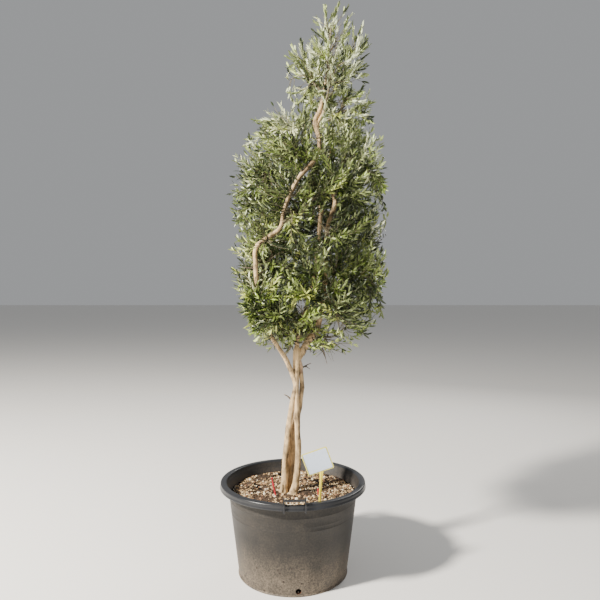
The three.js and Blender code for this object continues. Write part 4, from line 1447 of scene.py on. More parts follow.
def tube_mesh_parts(points, radii, sides, first):
    """Corners and faces of a closed tube through some points."""
    points = [np.asarray(point, dtype=float) for point in points]
    vertices = []
    for index, point in enumerate(points):
        ahead = points[min(index + 1, len(points) - 1)] - points[max(index - 1, 0)]
        side, other = ring_frame(unit(ahead))
        for k in range(sides):
            angle = 2 * math.pi * k / sides
            vertices.append(point + radii[index] * (side * math.cos(angle) + other * math.sin(angle)))
    last = first + (len(points) - 1) * sides
    ends = [[first + k for k in reversed(range(sides))], [last + k for k in range(sides)]]
    return vertices, ring_faces(len(points), sides, first) + ends


class TubeSet:
    """Gathers many thin tubes into one mesh."""

    def __init__(self):
        self.vertices = []
        self.faces = []

    def add(self, points, radii, sides):
        vertices, faces = tube_mesh_parts(points, radii, sides, len(self.vertices))
        self.vertices += vertices
        self.faces += faces

    def mesh(self, name):
        return mesh_of(name, np.array(self.vertices) * MM, self.faces)


print("faces of a plain tube", len(ring_faces(2, 6)) + 2)

# %% [markdown]
# ### Masses
#
# Each mass becomes two pieces, one of leaves and one of twigs. The leaves stand for the mass's solid.

# %% Grow the foliage
TWIG_SHARES = np.linspace(0, 1, 7)
SHOOT_SHARES = np.linspace(0, 0.97, 4)
SHOOT_RADII = (1.7, 1.4, 1.05, 0.7)
TWIG_SIDES, SHOOT_SIDES = 6, 3
FOLIAGE_SEED = 1000
leaf_total, shoot_total = 0, 0
for index, grown in enumerate(grown_masses):
    rng = np.random.default_rng(FOLIAGE_SEED + index)
    shoots = shoots_of(grown, rng)
    rows = kept(np.vstack([leaves_of(shoot, grown["mass"], rng) for shoot in shoots]))
    leaf_total += len(rows)
    shoot_total += len(shoots)
    name = grown["mass"]["name"]
    leaves = leaf_mesh(f"{name}_leaves", rows)
    dress(f"{name}_leaves", leaves, LEAF_FINISHES, [name], smooth=False)
    twigs = TubeSet()
    for path in [grown["stem"], *grown["twigs"]]:
        points = [path.curve_at(share) for share in TWIG_SHARES]
        radii = [path.radius_at(min(share, 0.999)) * 0.85 for share in TWIG_SHARES]
        twigs.add(points, radii, TWIG_SIDES)
    for shoot in shoots:
        twigs.add(along_shoot(shoot, SHOOT_SHARES)[0], SHOOT_RADII, SHOOT_SIDES)
    dress(f"{name}_twigs", twigs.mesh(f"{name}_twigs"), [SHADED_TWIG_BARK])
print("shoots", shoot_total, "leaves", leaf_total)

# %% [markdown]
# ## Limbs
#
# The bark of a young olive is nearly smooth, beige where the sun bleaches it, with shallow ridges, small
# knots and a few swellings where branches were cut. A displaced subdivision surface could give this, but
# a tube that is pushed in and out by noise as it is built needs no modifier and keeps the ridges running
# along the limb. Knots are small rings with a dent in their middle. Each is given by its share of the
# way, its turn round the limb in degrees, its size and its height.

# %% Knots
KNOTS = {
    "stem_main": [(0.775, -80, 8.5, 3.5), (0.74, -100, 6, 2.5), (0.42, -40, 9, 2.0),
                  (0.25, -125, 8, 2.0), (0.55, -150, 7, 2.0)],
    "stem_left": [(0.29, -110, 10, 2.0), (0.52, -60, 8, 2.0)],
    "stem_back": [(0.51, -60, 8, 2.0), (0.83, -20, 8, 2.5)],
    "bough_left": [(0.46, -120, 7, 2.0), (0.75, -60, 8, 2.0)],
    "leader_left": [(0.135, -85, 9, 3.5), (0.29, -95, 11, 4.0), (0.42, -70, 8, 2.0),
                    (0.56, -120, 8, 2.5), (0.8, -70, 8, 2.5)],
    "leader_top": [(0.42, -90, 12, 3.0), (0.1, -90, 6, 1.5)],
    "bough_right": [(0.4, -80, 12, 3.0), (0.66, -100, 8, 2.0)],
    "leader_right": [(0.45, -95, 9, 3.0), (0.2, -80, 6, 2.0)],
    "leader_centre": [(0.6, -80, 7, 2.0), (0.85, -100, 7, 2.5)],
}


def knot_height(knots, share, length, angle, radius):
    """How far knots push the bark out at a place."""
    offset = 0.0
    for at, turn, size, height in knots:
        along = (share - at) * length
        turned = (angle - math.radians(turn) + math.pi) % (2 * math.pi) - math.pi
        apart = math.hypot(along, turned * radius) / size
        if apart < 2.5:
            offset += height * (math.exp(-((apart - 0.7) ** 2) * 5) - 0.9 * math.exp(-apart * apart * 9))
    return offset


print("knots", sum(map(len, KNOTS.values())))

# %% Rings along a limb
ROUGH_STEPS = 80
RING_SPACING = 6.0
SMOOTHING = 0.04


def smooth_rings(path):
    """Even places on a limb's curve, and the sides at each, which don't twist."""
    rough = [path.curve_at(share) for share in np.linspace(0, 1, ROUGH_STEPS + 1)]
    length = sum(np.linalg.norm(b - a) for a, b in zip(rough, rough[1:]))
    shares = np.linspace(0, 1, max(int(length / RING_SPACING), 4) + 1)
    points = [path.curve_at(share) for share in shares]
    side = np.array([1.0, 0.0, 0.0])
    sides = []
    for index in range(len(points)):
        ahead = unit(points[min(index + 1, len(points) - 1)] - points[max(index - 1, 0)])
        side = unit(side - ahead * (side @ ahead))
        sides.append((side, np.cross(ahead, side)))
    return shares, points, sides, length


def smooth_radius(path, share):
    """The radius at a share of the way, without corners where the listed radii change."""
    shares = [min(max(share + step * SMOOTHING, 0), 0.9999) for step in (-1, -0.5, 0, 0.5, 1)]
    return sum(map(path.radius_at, shares)) / len(shares)


print("rings stand", RING_SPACING, "mm apart")

# %% Bark tubes
LIMB_SIDES = 22
SWELLING, SWELL_LENGTH = 0.16, 55
RIDGE_DEPTH, RIDGE_LENGTH = 0.11, 38
FLARE_HEIGHT = 26


def bark_tube(name, path, knots, flare=0.0):
    """A closed tube along a limb with ridges, swellings and knots."""
    shares, points, sides, length = smooth_rings(path)
    seed = Vector((sum(map(ord, name)) * 0.37, 0, 0))
    vertices = []
    for index, share in enumerate(shares):
        side, other = sides[index]
        at = share * length
        radius = smooth_radius(path, share)
        end_round = min(1.0, 0.55 + 0.45 * min(share, 1 - share) * length / 5.0) if flare == 0 else 1.0
        for k in range(LIMB_SIDES):
            angle = 2 * math.pi * k / LIMB_SIDES
            around = Vector((math.cos(angle), math.sin(angle), 0))
            wide = noise.noise(seed + around * 0.9 + Vector((0, 0, at / SWELL_LENGTH)))
            ridge = noise.noise(seed * 2 + around * 3.2 + Vector((0, 0, at / RIDGE_LENGTH)))
            push = 1 + SWELLING * wide + RIDGE_DEPTH * ridge
            if flare:
                low = math.exp(-at / FLARE_HEIGHT)
                push += flare * low * (0.35 + 0.65 * max(0.0, math.cos(3 * angle + seed.x)))
            reach = radius * push * end_round + knot_height(knots, share, length, angle, radius)
            vertices.append(points[index] + reach * (side * math.cos(angle) + other * math.sin(angle)))
    last = (len(shares) - 1) * LIMB_SIDES
    ends = [list(reversed(range(LIMB_SIDES))), [last + k for k in range(LIMB_SIDES)]]
    return vertices, ring_faces(len(shares), LIMB_SIDES) + ends


print("sides of a limb", LIMB_SIDES)

# %% [markdown]
# ### Broken and dead twigs
#
# Where branches died or were cut, stubs are left: broken ones on the stems and the leading limb, dead
# twigs under the right bough, and the two cut ends of the centre leader. They are crooked, so each follows
# three to five places, then its radius at either end, and it ends in a ragged point.

# %% Stubs
STUBS = {
    "stem_left": [([(-10, -44, 896), (-26, -48, 914), (-44, -52, 924)], 4.5, 2.4)],
    "stem_back": [([(36, -16, 1055), (60, -8, 1064), (78, -4, 1074), (94, -2, 1080)], 4.2, 1.8),
                  ([(40, -12, 1056), (66, -12, 1064), (76, -13, 1060), (88, -14, 1052)], 3.8, 1.6)],
    "leader_left": [([(-180, -170, 1570), (-212, -176, 1571), (-246, -182, 1575)], 3.4, 1.5)],
    "leader_centre": [([(144, -50, 1855), (140, -51, 1880), (134, -52, 1898)], 7.5, 6.0),
                      ([(144, -50, 1852), (154, -49, 1876), (162, -48, 1896)], 6.8, 5.2)],
    "bough_right": [([(62, -27, 1158), (68, -40, 1146), (58, -44, 1124)], 3.4, 1.6),
                    ([(84, -16, 1195), (92, -34, 1172), (89, -42, 1138)], 3.6, 1.5),
                    ([(100, -9, 1218), (114, -34, 1188), (120, -42, 1138)], 3.6, 1.5),
                    ([(112, -5, 1232), (140, -34, 1180), (160, -42, 1150), (168, -44, 1116),
                      (176, -46, 1084)], 3.8, 1.4)],
    "bough_left": [([(-12, -54, 1060), (-24, -66, 1078), (-28, -76, 1100)], 2.6, 1.0)],
}
STUB_SIDES = 9
RAGGED_END = (0.9, -0.3, 0.2)


def stub_parts(route, thick, thin, first):
    """Corners and faces of a crooked stub with a ragged end."""
    path = Course(route, (thick, thin), 4)
    shares = np.linspace(0, 1, 9)
    points = [path.curve_at(share) for share in shares]
    radii = [lerp(thick, thin, share) * (1 + 0.12 * math.sin(9 * share + thick)) for share in shares]
    corners, faces = tube_mesh_parts(points, radii, STUB_SIDES, first)
    ahead = unit(points[-1] - points[-2])
    for k in range(STUB_SIDES):
        corners[k - STUB_SIDES] = corners[k - STUB_SIDES] + ahead * thin * RAGGED_END[k % 3]
    return corners, faces


print("stubs", sum(map(len, STUBS.values())))

# %% [markdown]
# ### Bark on the limbs
#
# The solids of the limbs end a hair's breadth before each other. Bark that ended there would leave seams,
# so the bark of some limbs runs on into their neighbours. The rear stem is made thicker too, which closes
# the slit between the front two.

# %% Bark on the limbs
STEM_FLARE = 0.22
LIVING, DEAD, CUT = range(3)
BARK_WAYS = {
    "stem_main": (LIMBS["stem_main"]["route"] + [(23, -25, 1186)], [25, 17.5, 15.5, 14.5, 14, 19, 9.5]),
    "stem_left": (LIMBS["stem_left"]["route"] + [(17, -41, 992)], [24, 17, 16.5, 16, 14.5, 10, 5]),
    "stem_back": ([(-14, 6, SOIL_LEVEL + GAP), (-12, 2, 480), (-6, 0, 600), (9, -2, 730), (20, -5, 800),
                   (36, -8, 862), (47, -10, 980), (33, -20, 1095)], [20, 18, 20, 19, 18.5, 12, 11.5, 12]),
    "bough_left": ([(15, -41, 950)] + LIMBS["bough_left"]["route"], [6, 13, 12.5, 12, 11, 11, 11.5]),
    "bough_right": ([(20, -32, 1052)] + LIMBS["bough_right"]["route"], [8, 16, 18, 19, 18, 13, 11, 10]),
}
BARK_STEPS = 6
for name, path in limb_paths.items():
    flare = STEM_FLARE if name.startswith("stem") else 0.0
    if name in BARK_WAYS:
        path = Course(*BARK_WAYS[name], BARK_STEPS)
    vertices, faces = bark_tube(name, path, KNOTS.get(name, ()), flare)
    tones = [LIVING] * (len(faces) - 1) + [CUT]
    for stub in STUBS.get(name, ()):
        corners, skin = stub_parts(*stub, len(vertices))
        vertices += corners
        faces += skin
        tones += [LIVING if name == "leader_centre" else DEAD] * (len(skin) - 1) + [CUT]
    mesh = mesh_of(name + "_bark", np.array(vertices) * MM, faces, tones)
    dress(name + "_bark", mesh, [BARK, SHADED_DEAD_WOOD, CUT_WOOD], [name])
print("limbs dressed", len(limb_paths))

# %% [markdown]
# ### The torn scar
#
# At the top of the rear stem a strip of bark was torn off where it meets the fork. The bare wood is warm
# brown, and the edge of the bark stands up around it. The scar is a thin lens that lies on the stem.

# %% Scar
SCAR_ROUTE = [(44, -24, 1030), (44, -27, 1052), (41, -30, 1080), (36, -32, 1104)]
SCAR_WIDTH = 9.0
SCAR_ROWS, SCAR_COLUMNS = 14, 7
SCAR_THICKNESS = 4.0
scar_path = Course(SCAR_ROUTE, (1, 1), 6)
scar_vertices, scar_faces = [], []
for row in range(SCAR_ROWS + 1):
    share = row / SCAR_ROWS
    spot = scar_path.curve_at(share)
    half = SCAR_WIDTH * math.sin(math.pi * min(max(share, 0.03), 0.97)) ** 0.6
    for column in range(SCAR_COLUMNS + 1):
        side = 2 * column / SCAR_COLUMNS - 1
        ragged = 1 + 0.18 * noise.noise(Vector((side * 2, share * 9, 3)))
        depth = 5.5 * (1 - side * side) - 1.4 * math.sin(9 * side + 5 * share)
        scar_vertices.append(spot + np.array([side * half * ragged, -depth * 0.6, 0]))
for row in range(SCAR_ROWS):
    for column in range(SCAR_COLUMNS):
        a = row * (SCAR_COLUMNS + 1) + column
        scar_faces.append((a, a + 1, a + SCAR_COLUMNS + 2, a + SCAR_COLUMNS + 1))
scar_mesh = mesh_of("torn_scar", np.array(scar_vertices) * MM, scar_faces)
scar = dress("torn_scar", scar_mesh, [TORN_BARK])
thicken = scar.modifiers.new("thicken", "SOLIDIFY")
thicken.thickness = SCAR_THICKNESS * MM
thicken.offset = -1 if scar.data.polygons[0].normal.y < 0 else 1
print("scar corners", len(scar_vertices))

# %% [markdown]
# ## The tub
#
# The tub is one moulded shell: a flat wide rim that turns down into a lip, a tapering wall with three
# faint rings, a rounded lower edge and a thin foot. It is turned from its outline, as on a lathe. The
# drain holes and the two notches at the grips are then cut out with solid cutters.

# %% Turning an outline
TUB_HEIGHT = 473
TUB_SIDES = 168
LIP_HEIGHT = 29
NECK_RADIUS = 338
BASE_RADIUS = 282
FOOT_HEIGHT = 8


def wall_radius(height):
    slope = (NECK_RADIUS - BASE_RADIUS) / (TUB_HEIGHT - LIP_HEIGHT - FOOT_HEIGHT)
    return BASE_RADIUS + (height - FOOT_HEIGHT) * slope


def lathe(name, outline, sides):
    """A closed mesh turned from an outline that starts and ends on the axis."""
    vertices = [(0, 0, outline[0][1])]
    rows = outline[1:-1]
    for radius, height in rows:
        for k in range(sides):
            angle = 2 * math.pi * k / sides
            vertices.append((radius * math.cos(angle), radius * math.sin(angle), height))
    vertices.append((0, 0, outline[-1][1]))
    faces = []
    for k in range(sides):
        n = (k + 1) % sides
        faces.append((0, 1 + n, 1 + k))
        for row in range(len(rows) - 1):
            a, b = 1 + row * sides + k, 1 + row * sides + n
            faces.append((a, b, b + sides, a + sides))
        last = 1 + (len(rows) - 1) * sides
        faces.append((last + k, last + n, len(vertices) - 1))
    return mesh_of(name, np.array(vertices) * MM, faces)


print("wall at its middle", round(wall_radius(TUB_HEIGHT / 2), 1))

# %% The tub's outline
WALL = 5
RIM_RADIUS = 380
LINE_WIDTH = 1.6
lip_foot = TUB_HEIGHT - LIP_HEIGHT


def ring_line(height, depth):
    """A fine raised line round the wall, as four corners of the outline."""
    below, above = height - LINE_WIDTH, height + LINE_WIDTH
    crest = wall_radius(height) + depth
    return [(wall_radius(below), below), (crest, height - LINE_WIDTH * 0.4),
            (crest, height + LINE_WIDTH * 0.4), (wall_radius(above), above)]


foot_outline = [(0, 0), (272, 0), (280, 0), (283.6, 0.8), (285, 2.4), (285, 5.6), (284, 7.2), (282, 8),
                (281.2, 9.5), (282.2, 15), (283.6, 22)]
wall_outline = [*((wall_radius(height), height) for height in (34, 110, 200, 260)), *ring_line(322, 0.6),
                *ring_line(345, 0.35), *ring_line(389, 0.6), (NECK_RADIUS - 1, lip_foot - 8)]
under_rim = [(NECK_RADIUS, lip_foot + 2), (344, 456), (351, 466), (356, 468), (368, 468), (374, 466),
             (375.4, 458), (376, lip_foot + 1)]
lip_outline = [(377, lip_foot), (379, lip_foot), (RIM_RADIUS, lip_foot + 1), (RIM_RADIUS, lip_foot + 7),
               (378.4, lip_foot + 10), (378, lip_foot + 14), (378, 466)]
rim_top = [(377, 470), (374.5, 472.3), (371, TUB_HEIGHT), (352, TUB_HEIGHT), (348.4, 472.4), (346.4, 470.4),
           (345, 466)]
inside = [(339.5, 452), (NECK_RADIUS - WALL, lip_foot), (wall_radius(380) - WALL, 380),
          (wall_radius(34) - WALL, 34), (275, 12), (268, 6), (258, WALL), (0, WALL)]
tub_outline = foot_outline + wall_outline + under_rim + lip_outline + rim_top + inside
tub_mesh = lathe("tub_shell", tub_outline, TUB_SIDES)
print("tub corners", len(tub_mesh.vertices))

# %% Blocks and cuts
DRAIN_RADIUS, DRAIN_HEIGHT = 14, 27


def turn_mesh(bm, degrees, axis):
    matrix = Matrix.Rotation(math.radians(degrees), 3, axis)
    bmesh.ops.rotate(bm, cent=(0, 0, 0), matrix=matrix, verts=bm.verts)


def mesh_from(bm, name):
    mesh = bpy.data.meshes.new(name)
    bm.to_mesh(mesh)
    bm.free()
    return mesh


def block(name, size, place, turn=0.0, bevel=0.0, segments=2):
    """A box mesh with rounded edges, turned about the tub's axis."""
    bm = bmesh.new()
    bmesh.ops.create_cube(bm, size=1.0)
    bmesh.ops.scale(bm, vec=Vector(size) * MM, verts=bm.verts)
    if bevel:
        bmesh.ops.bevel(bm, geom=bm.edges[:], offset=bevel * MM, segments=segments, profile=0.7,
                        affect="EDGES")
    bmesh.ops.translate(bm, vec=Vector(place) * MM, verts=bm.verts)
    turn_mesh(bm, turn, "Z")
    return mesh_from(bm, name)


def drain_cutter(turn):
    bm = bmesh.new()
    bmesh.ops.create_cone(bm, segments=28, radius1=DRAIN_RADIUS * MM, radius2=DRAIN_RADIUS * MM,
                          depth=60 * MM, cap_ends=True)
    turn_mesh(bm, 90, "X")
    bmesh.ops.translate(bm, vec=Vector((0, -BASE_RADIUS, DRAIN_HEIGHT)) * MM, verts=bm.verts)
    turn_mesh(bm, turn, "Z")
    return mesh_from(bm, "drain_cutter")


def applied(mesh, cutters):
    """The mesh with every cutter taken out of it."""
    blank = bpy.data.objects.new("cut_work", mesh)
    bpy.context.scene.collection.objects.link(blank)
    placed = []
    for cutter in cutters:
        placed.append(bpy.data.objects.new("cutter", cutter))
        bpy.context.scene.collection.objects.link(placed[-1])
        cut = blank.modifiers.new("cut", "BOOLEAN")
        cut.operation = "DIFFERENCE"
        cut.solver = "EXACT"
        cut.object = placed[-1]
    bpy.context.view_layer.update()
    evaluated = blank.evaluated_get(bpy.context.evaluated_depsgraph_get())
    result = bpy.data.meshes.new_from_object(evaluated)
    for work in [*placed, blank]:
        bpy.data.objects.remove(work)
    return result


print("drain holes", 2 * DRAIN_RADIUS, "mm wide")

# %% Holes, notches and zones
GRIP_TURN = 2
DRAIN_TURNS = (6, 96, 186, 276)
NOTCH_SIZE = (93, 42, 22)
NOTCH_PLACE = (0, -349, TUB_HEIGHT)
OUTSIDE, RIM, INSIDE, BORE = range(4)


def zone_of(face):
    """Which finish a face of the tub takes, by where it lies."""
    x, y, z = face.center / MM
    radius = math.hypot(x, y)
    normal = face.normal
    bored = any(math.hypot(x * math.cos(turn) + y * math.sin(turn), z - DRAIN_HEIGHT) < DRAIN_RADIUS + 0.5
                and y * math.cos(turn) < 0
                and abs(normal.x * math.sin(turn) - normal.y * math.cos(turn)) < 0.4
                for turn in map(math.radians, DRAIN_TURNS))
    if bored and BASE_RADIUS - 8 < radius < BASE_RADIUS + 4 and z > 10:
        return BORE
    if z > lip_foot - 1 and radius > 344:
        return RIM
    return INSIDE if radius < wall_radius(z) - 2.5 and z > 4.5 else OUTSIDE


cutters = [drain_cutter(turn) for turn in DRAIN_TURNS]
cutters += [block("notch", NOTCH_SIZE, NOTCH_PLACE, GRIP_TURN + half) for half in (0, 180)]
cut_tub = applied(tub_mesh, cutters)
cut_tub.materials.clear()
cut_tub.polygons.foreach_set("material_index", [zone_of(face) for face in cut_tub.polygons])
dress("tub_shell", cut_tub, [TUB_PLASTIC, RIM_PLASTIC, INNER_PLASTIC, RUST_DIRT], ["tub"])
cut_tub.set_sharp_from_angle(angle=math.radians(38))
print("tub faces", len(cut_tub.polygons))

# %% [markdown]
# ### Mud
#
# Watering and rain splash small specks of mud on the lower wall. A few larger ones show beside the front
# drain hole, so those have places of their own, and the others are scattered all round.

# %% Mud specks
MUD_SPOTS = [(-0.617, 121, 5.0), (-0.233, 134, 4.5), (-0.203, 118, 5.0), (-0.005, 144, 4.0),
             (-0.145, 77, 5.5), (0.154, 67, 5.0)]
SCATTERED_SPOTS = 90
SPLASH_HEIGHT = 210
SPECK_SIDES = 8
mud_rng = np.random.default_rng(5)
for spot in range(SCATTERED_SPOTS):
    MUD_SPOTS.append((mud_rng.random() * FULL_TURN, 12 + SPLASH_HEIGHT * mud_rng.random() ** 2,
                      1.5 + 2.5 * mud_rng.random()))
mud_vertices, mud_faces = [], []
for turn, height, size in MUD_SPOTS:
    outward = np.array([math.sin(turn), -math.cos(turn), 0.0])
    sideways = np.array([math.cos(turn), math.sin(turn), 0.0])
    centre = outward * (wall_radius(max(height, 14)) - 0.6) + UP * height
    base = len(mud_vertices)
    for ring, rise in ((1.0, 0.0), (0.6, 0.22)):
        for k in range(SPECK_SIDES):
            angle = 2 * math.pi * k / SPECK_SIDES
            wide = size * ring * (1 + 0.35 * (mud_rng.random() - 0.5))
            mud_vertices.append(centre + sideways * wide * math.cos(angle) + UP * wide * math.sin(angle)
                                + outward * (rise * size * 0.5 + 0.9))
    mud_faces += ring_faces(2, SPECK_SIDES, base)
    mud_faces.append(tuple(base + SPECK_SIDES + k for k in range(SPECK_SIDES)))
    mud_faces.append(tuple(base + k for k in reversed(range(SPECK_SIDES))))
dress("mud_specks", mesh_of("mud_specks", np.array(mud_vertices) * MM, mud_faces), [DARK_MUD])
print("mud specks", len(MUD_SPOTS))

# %% [markdown]
# ### Grips
#
# At the front and back a grip bridges the notch: two thin upright fins that hook over the lip and a
# rounded bar between them. All edges are softened, because a moulded edge is never sharp and catches a
# line of light.

# %% Grips
GRIP_TOP = 500
GRIP_SEAT = TUB_HEIGHT + GAP
GRIP_FACE = RIM_RADIUS + GAP
GRIP_OUTER, GRIP_INNER = 387.3, 350
HOOK_FOOT = 437
FIN_SPREAD, FIN_WIDTH = 100, 7
BAR_SIZE = 10


def joined(name, meshes):
    """Several meshes in one."""
    bm = bmesh.new()
    for mesh in meshes:
        bm.from_mesh(mesh)
    return mesh_from(bm, name)


def grip_plate(x, inner, low, turn, bevel):
    """An upright plate of a grip, from an inner side and a lower end."""
    size = (FIN_WIDTH, GRIP_OUTER - inner, GRIP_TOP - low)
    place = (x, -(GRIP_OUTER + inner) / 2, (GRIP_TOP + low) / 2)
    return block("grip_plate", size, place, turn, bevel)


def grip_mesh(name, turn):
    parts = []
    for x in (-FIN_SPREAD / 2, FIN_SPREAD / 2):
        parts.append(grip_plate(x, GRIP_INNER, GRIP_SEAT, turn, 1.6))
        parts.append(grip_plate(x, GRIP_FACE, HOOK_FOOT, turn, 1.4))
        parts.append(block("rib", (3, 14, 16), (x, -(GRIP_INNER + 9), GRIP_SEAT + 8), turn, 1.0))
    bar_place = (0, -(GRIP_OUTER - BAR_SIZE / 2), GRIP_TOP - BAR_SIZE / 2)
    parts.append(block("bar", (FIN_SPREAD, BAR_SIZE, BAR_SIZE), bar_place, turn, 3.2, 4))
    return joined(name, parts)


for name, turn in (("grip_front", GRIP_TURN), ("grip_back", GRIP_TURN + 180)):
    grip = dress(name + "_moulded", grip_mesh(name + "_moulded", turn), [RIM_PLASTIC], [name])
    grip.data.set_sharp_from_angle(angle=math.radians(50))
    print(name, "faces", len(grip.data.polygons))

# %% [markdown]
# ## Soil and gravel
#
# The soil is covered with loose chips, up to two centimetres across, in tan, pinkish, brown and white
# stone, with dark earth showing between them. Each chip is a small uneven block of stone, dropped at a
# seeded place and turned at random. A bump map alone would look flat at the rim's edge.

# %% Soil
SOIL_RADIUS = 331
SOIL_RINGS, SOIL_SPOKES = 30, 96
MOUND, MOUND_REACH = 7.0, 60
SOIL_DROP = 4


def soil_height(x, y):
    """Height of the earth: a low mound at the stems and small hollows."""
    hollows = noise.noise(Vector((x / 60, y / 60, 1.7))) * 4
    bumps = hollows + noise.noise(Vector((x / 18, y / 18, 5.1))) * 1.6
    near = math.exp(-((x + 10) ** 2 + (y + 40) ** 2) / (2 * MOUND_REACH ** 2))
    return SOIL_LEVEL - SOIL_DROP + bumps + MOUND * near


soil_vertices = [(0, 0, soil_height(0, 0))]
for ring in range(1, SOIL_RINGS + 1):
    for spoke in range(SOIL_SPOKES):
        angle = 2 * math.pi * spoke / SOIL_SPOKES
        x, y = (SOIL_RADIUS * ring / SOIL_RINGS * f(angle) for f in (math.cos, math.sin))
        soil_vertices.append((x, y, soil_height(x, y)))
soil_faces = [(0, 1 + k, 1 + (k + 1) % SOIL_SPOKES) for k in range(SOIL_SPOKES)]
for ring in range(SOIL_RINGS - 1):
    for k in range(SOIL_SPOKES):
        a, b = 1 + ring * SOIL_SPOKES + k, 1 + ring * SOIL_SPOKES + (k + 1) % SOIL_SPOKES
        soil_faces.append((a, a + SOIL_SPOKES, b + SOIL_SPOKES, b))
rim_start = 1 + (SOIL_RINGS - 1) * SOIL_SPOKES
soil_faces.append(tuple(rim_start + k for k in reversed(range(SOIL_SPOKES))))
soil_mesh = mesh_of("soil_earth", np.array(soil_vertices) * MM, soil_faces)
dress("soil_earth", soil_mesh, [SOIL_EARTH], ["soil"])
print("soil corners", len(soil_vertices))

# %% Tones of the chips
CHIP_TONES = {
    "tan_chip": ((0.36, 0.235, 0.115), (0.20, 0.125, 0.060)),
    "pale_chip": ((0.62, 0.465, 0.265), (0.41, 0.29, 0.155)),
    "white_chip": ((0.80, 0.73, 0.57), (0.58, 0.49, 0.35)),
    "pink_chip": ((0.33, 0.17, 0.09), (0.20, 0.10, 0.055)),
    "brown_chip": ((0.075, 0.043, 0.022), (0.040, 0.024, 0.013)),
}
CHIP_SHARES = (0.28, 0.20, 0.08, 0.10, 0.34)
chip_finishes = [mottled(name, *tones, 150.0, 3.0, 0.85, 0.5, 0.001)
                 for name, tones in CHIP_TONES.items()]
chip_finishes.append(SOIL_EARTH)
print("chip finishes", [finish.name for finish in chip_finishes])

# %% Gravel
CHIP_COUNT = 4200
CHIP_SIZES = (3.0, 9.5)
EDGE_MARGIN = 12
STEM_MARGIN = 24
STEMS = ("stem_main", "stem_left", "stem_back")


def unit_chip():
    bm = bmesh.new()
    bmesh.ops.create_icosphere(bm, subdivisions=1, radius=1.0)
    corners = np.array([vertex.co[:] for vertex in bm.verts])
    faces = np.array([[vertex.index for vertex in face.verts] for face in bm.faces])
    bm.free()
    return corners, faces


chip_corners, chip_faces = unit_chip()
rng = np.random.default_rng(77)
chip_vertices, chip_polygons, chip_tones = [], [], []
stem_feet = [limb_paths[name].rings[0][:2] for name in STEMS]


def add_chip(shape, place, tone):
    """Puts one chip or crumb among the others."""
    chip_polygons.extend((chip_faces + len(chip_vertices)).tolist())
    chip_vertices.extend(shape + place)
    chip_tones.extend([tone] * len(chip_faces))


while len(chip_tones) < CHIP_COUNT * len(chip_faces):
    radius = math.sqrt(rng.random()) * (SOIL_RADIUS - EDGE_MARGIN)
    angle = rng.random() * 2 * math.pi
    x, y = radius * math.cos(angle), radius * math.sin(angle)
    size = lerp(*CHIP_SIZES, rng.random() ** 1.6)
    if any(np.hypot(*(foot - (x, y))) < STEM_MARGIN + size for foot in stem_feet):
        continue
    # Fewer chips in noise patches and towards the back left, so that the dark earth shows there: painted
    # shade.
    shaded = noise.noise(Vector((x / 75, y / 75, 2.3))) + 0.25 * (y - x) / SOIL_RADIUS
    if shaded > 0.12 and rng.random() < 0.75:
        continue
    jitter = 1 + 0.28 * (rng.random(len(chip_corners)) - 0.5)
    flat = np.array([1.0, lerp(0.6, 0.95, rng.random()), lerp(0.4, 0.7, rng.random())])
    spin = Matrix.Rotation(rng.random() * FULL_TURN, 3, "Z")
    tilt = Matrix.Rotation((rng.random() - 0.5) * 1.2, 3, "X")
    shape = (chip_corners * jitter[:, None] * flat) @ np.array(spin @ tilt).T * size
    place = np.array([x, y, soil_height(x, y) + size * (0.1 + 0.35 * rng.random())])
    add_chip(shape, place, int(rng.choice(len(CHIP_SHARES), p=CHIP_SHARES)))
print("chips", len(chip_tones) // len(chip_faces))

# %% [markdown]
# ### Clods
#
# A few clods of earth lie beside the stems. A clod made as one block would look like a stone, so each is
# a heap of crumbs, laid out from its middle like the seeds of a sunflower.

# %% Clods
EARTH_CLODS = [((62, -72), 26, 0.5), ((88, -60), 20, 0.55), ((70, -40), 22, 0.5), ((104, -84), 14, 0.6),
               ((46, -98), 12, 0.6), ((-60, -20), 15, 0.5)]
CLOD_CRUMBS = 46
CRUMB_TURN = 2.4
CRUMB_SIZES = (4.0, 7.5)
EARTH_TONE = len(CHIP_SHARES)
for middle, size, flat in EARTH_CLODS:
    for crumb in range(CLOD_CRUMBS):
        share, angle = math.sqrt((crumb + 0.5) / CLOD_CRUMBS), crumb * CRUMB_TURN
        x = middle[0] + size * share * math.cos(angle)
        y = middle[1] + 0.8 * size * share * math.sin(angle)
        rise = size * flat * 0.6 * (1 - share * share) + 2 * rng.random()
        shape = chip_corners * (1 + 0.5 * (rng.random(len(chip_corners)) - 0.5))[:, None]
        shape = shape * lerp(*CRUMB_SIZES, rng.random()) * np.array([1, 1, 0.8])
        add_chip(shape, np.array([x, y, soil_height(x, y) + rise]), EARTH_TONE)
gravel_mesh = mesh_of("gravel", np.array(chip_vertices) * MM, chip_polygons, chip_tones)
dress("gravel", gravel_mesh, chip_finishes, smooth=False)
print("crumbs", len(EARTH_CLODS) * CLOD_CRUMBS)

# %% [markdown]
# ## Label and pegs
#
# A plain card in a pale yellow holder leans on a tapering stake, and two red drip pegs stand in the
# gravel. The card has a fine paper grain, and the plastic parts carry a light veil of dust.

